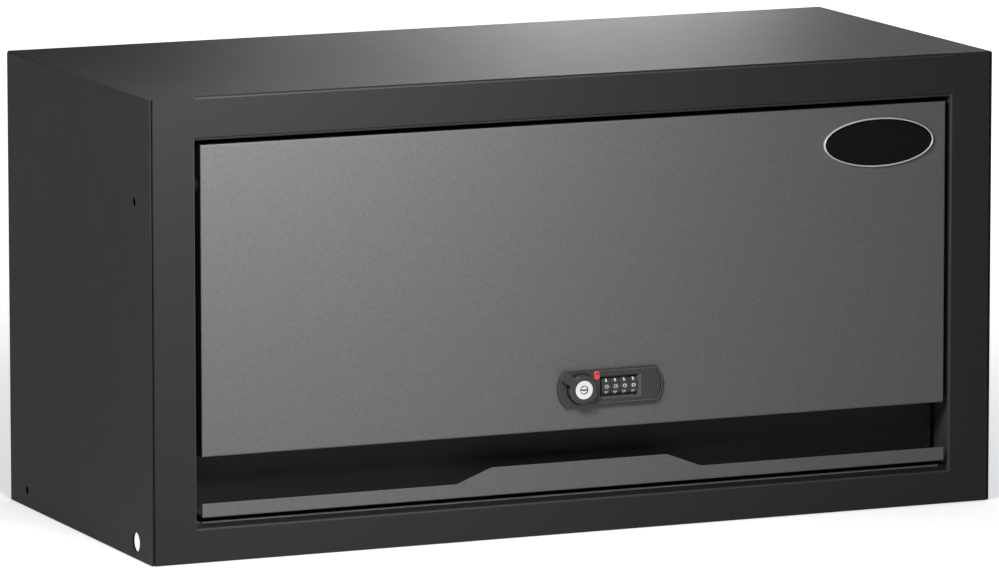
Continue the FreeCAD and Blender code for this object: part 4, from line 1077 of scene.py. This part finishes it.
def studio_sky():
    """Dim light from all round; white where the camera sees it, and white low in reflections."""
    world = bpy.data.worlds.new("sky")
    world.use_nodes = True
    graph = world.node_tree
    background = graph.nodes["Background"]
    background.inputs["Color"].default_value = (1, 1, 1, 1)
    way = graph.nodes.new("ShaderNodeSeparateXYZ")
    graph.links.new(graph.nodes.new("ShaderNodeTexCoord").outputs["Generated"],
                    way.inputs["Vector"])
    band = add_node(graph, "ShaderNodeMapRange", From_Min=WHITE_BELOW, From_Max=DIM_ABOVE,
                    To_Min=1.0, To_Max=0.0)
    band.interpolation_type = "SMOOTHSTEP"
    graph.links.new(way.outputs["Z"], band.inputs["Value"])
    mirrored = either_ray(graph, ("Is Glossy Ray", "Is Transmission Ray"))
    low_and_mirrored = math_node(graph, "MULTIPLY", mirrored, band.outputs["Result"])
    white = math_node(graph, "MAXIMUM", either_ray(graph, ("Is Camera Ray",)), low_and_mirrored)
    total = math_node(graph, "MULTIPLY_ADD", white, 1.0 - SKY_STRENGTH)
    total.node.inputs[2].default_value = SKY_STRENGTH
    graph.links.new(total, background.inputs["Strength"])
    bpy.context.scene.world = world


studio_sky()
print("sky strength:", SKY_STRENGTH)


# %% [markdown]
# Each lamp is a soft rectangle. A small one close to the upper left gives the flap its fall from
# light to dark. Three low ones behind the cabinet graze the top and give it its broad sheen.
# Two large ones at the right and behind fill the sides that the photograph doesn't show.
# Their powers were found by rendering each alone and solving for the photograph's grey levels.
# %% Lamps
def soft_lamp(name, place, target, width, height, watts):
    lamp = bpy.data.lights.new(name, "AREA")
    lamp.shape = "RECTANGLE"
    lamp.size = width
    lamp.size_y = height
    lamp.energy = watts
    holder = bpy.data.objects.new(name, lamp)
    bpy.context.scene.collection.objects.link(holder)
    holder.location = place
    way = Vector(target) - Vector(place)
    holder.rotation_euler = way.to_track_quat("-Z", "Y").to_euler()
    holder.visible_camera = False


soft_lamp("left_key", (-0.35, -0.53, 0.62), (-0.2, -0.15, 0.2), 0.25, 0.25, 5.8)
soft_lamp("top_sheen_left", (0.49, 1.14, 0.53), (0.0, 0.0, 0.34), 0.5, 0.2, 1.2)
soft_lamp("top_sheen_right", (0.7, 1.5, 0.62), (0.1, 0.0, 0.34), 0.25, 0.25, 1.2)
soft_lamp("top_sheen_low", (0.52, 0.9, 0.5), (0.1, 0.0, 0.34), 0.25, 0.15, 0.7)
soft_lamp("right_fill", (2.6, 0.6, 1.0), (0.2, 0.0, 0.2), 1.2, 1.2, 10.0)
soft_lamp("back_fill", (2.0, 2.0, 1.2), (0.1, 0.0, 0.2), 1.2, 1.2, 10.0)
print("lamps:", len(bpy.data.lights))


# %% [markdown]
# The photograph was taken from the cabinet's left with a long lens, slightly above it. The
# place, the turn and the lens come from solving the photograph's view of the cabinet's corners.
# %% Camera
CAMERA_PLACE = (-2.50343, -5.77667, 1.15051)
CAMERA_HEADING = math.radians(-23.414)
CAMERA_DOWN = math.radians(8.903)
CAMERA_ROLL = -0.0005
SENSOR_WIDTH = 36.0
FOCAL_LENGTH = 303.65


def photo_camera():
    lens = bpy.data.cameras.new("photo_view")
    lens.sensor_width = SENSOR_WIDTH
    lens.lens = FOCAL_LENGTH
    lens.clip_end = 100.0
    camera = bpy.data.objects.new("photo_view", lens)
    bpy.context.scene.collection.objects.link(camera)
    camera.location = CAMERA_PLACE
    turn = (Matrix.Rotation(CAMERA_HEADING, 3, "Z")
            @ Matrix.Rotation(math.pi / 2 - CAMERA_DOWN, 3, "X")
            @ Matrix.Rotation(CAMERA_ROLL, 3, "Z"))
    camera.rotation_euler = turn.to_euler()
    bpy.context.scene.camera = camera


photo_camera()
bpy.context.scene.view_settings.view_transform = "Standard"
print("lens:", FOCAL_LENGTH, "mm")

# %% [markdown]
# Detail in the scene must not make the cabinet bigger than the imported model. The box of the
# imported model, measured when it was loaded, is printed.
# %% Sizes, and the end
print("box of the model:", [[round(v, 4) for v in corner] for corner in cad_box])
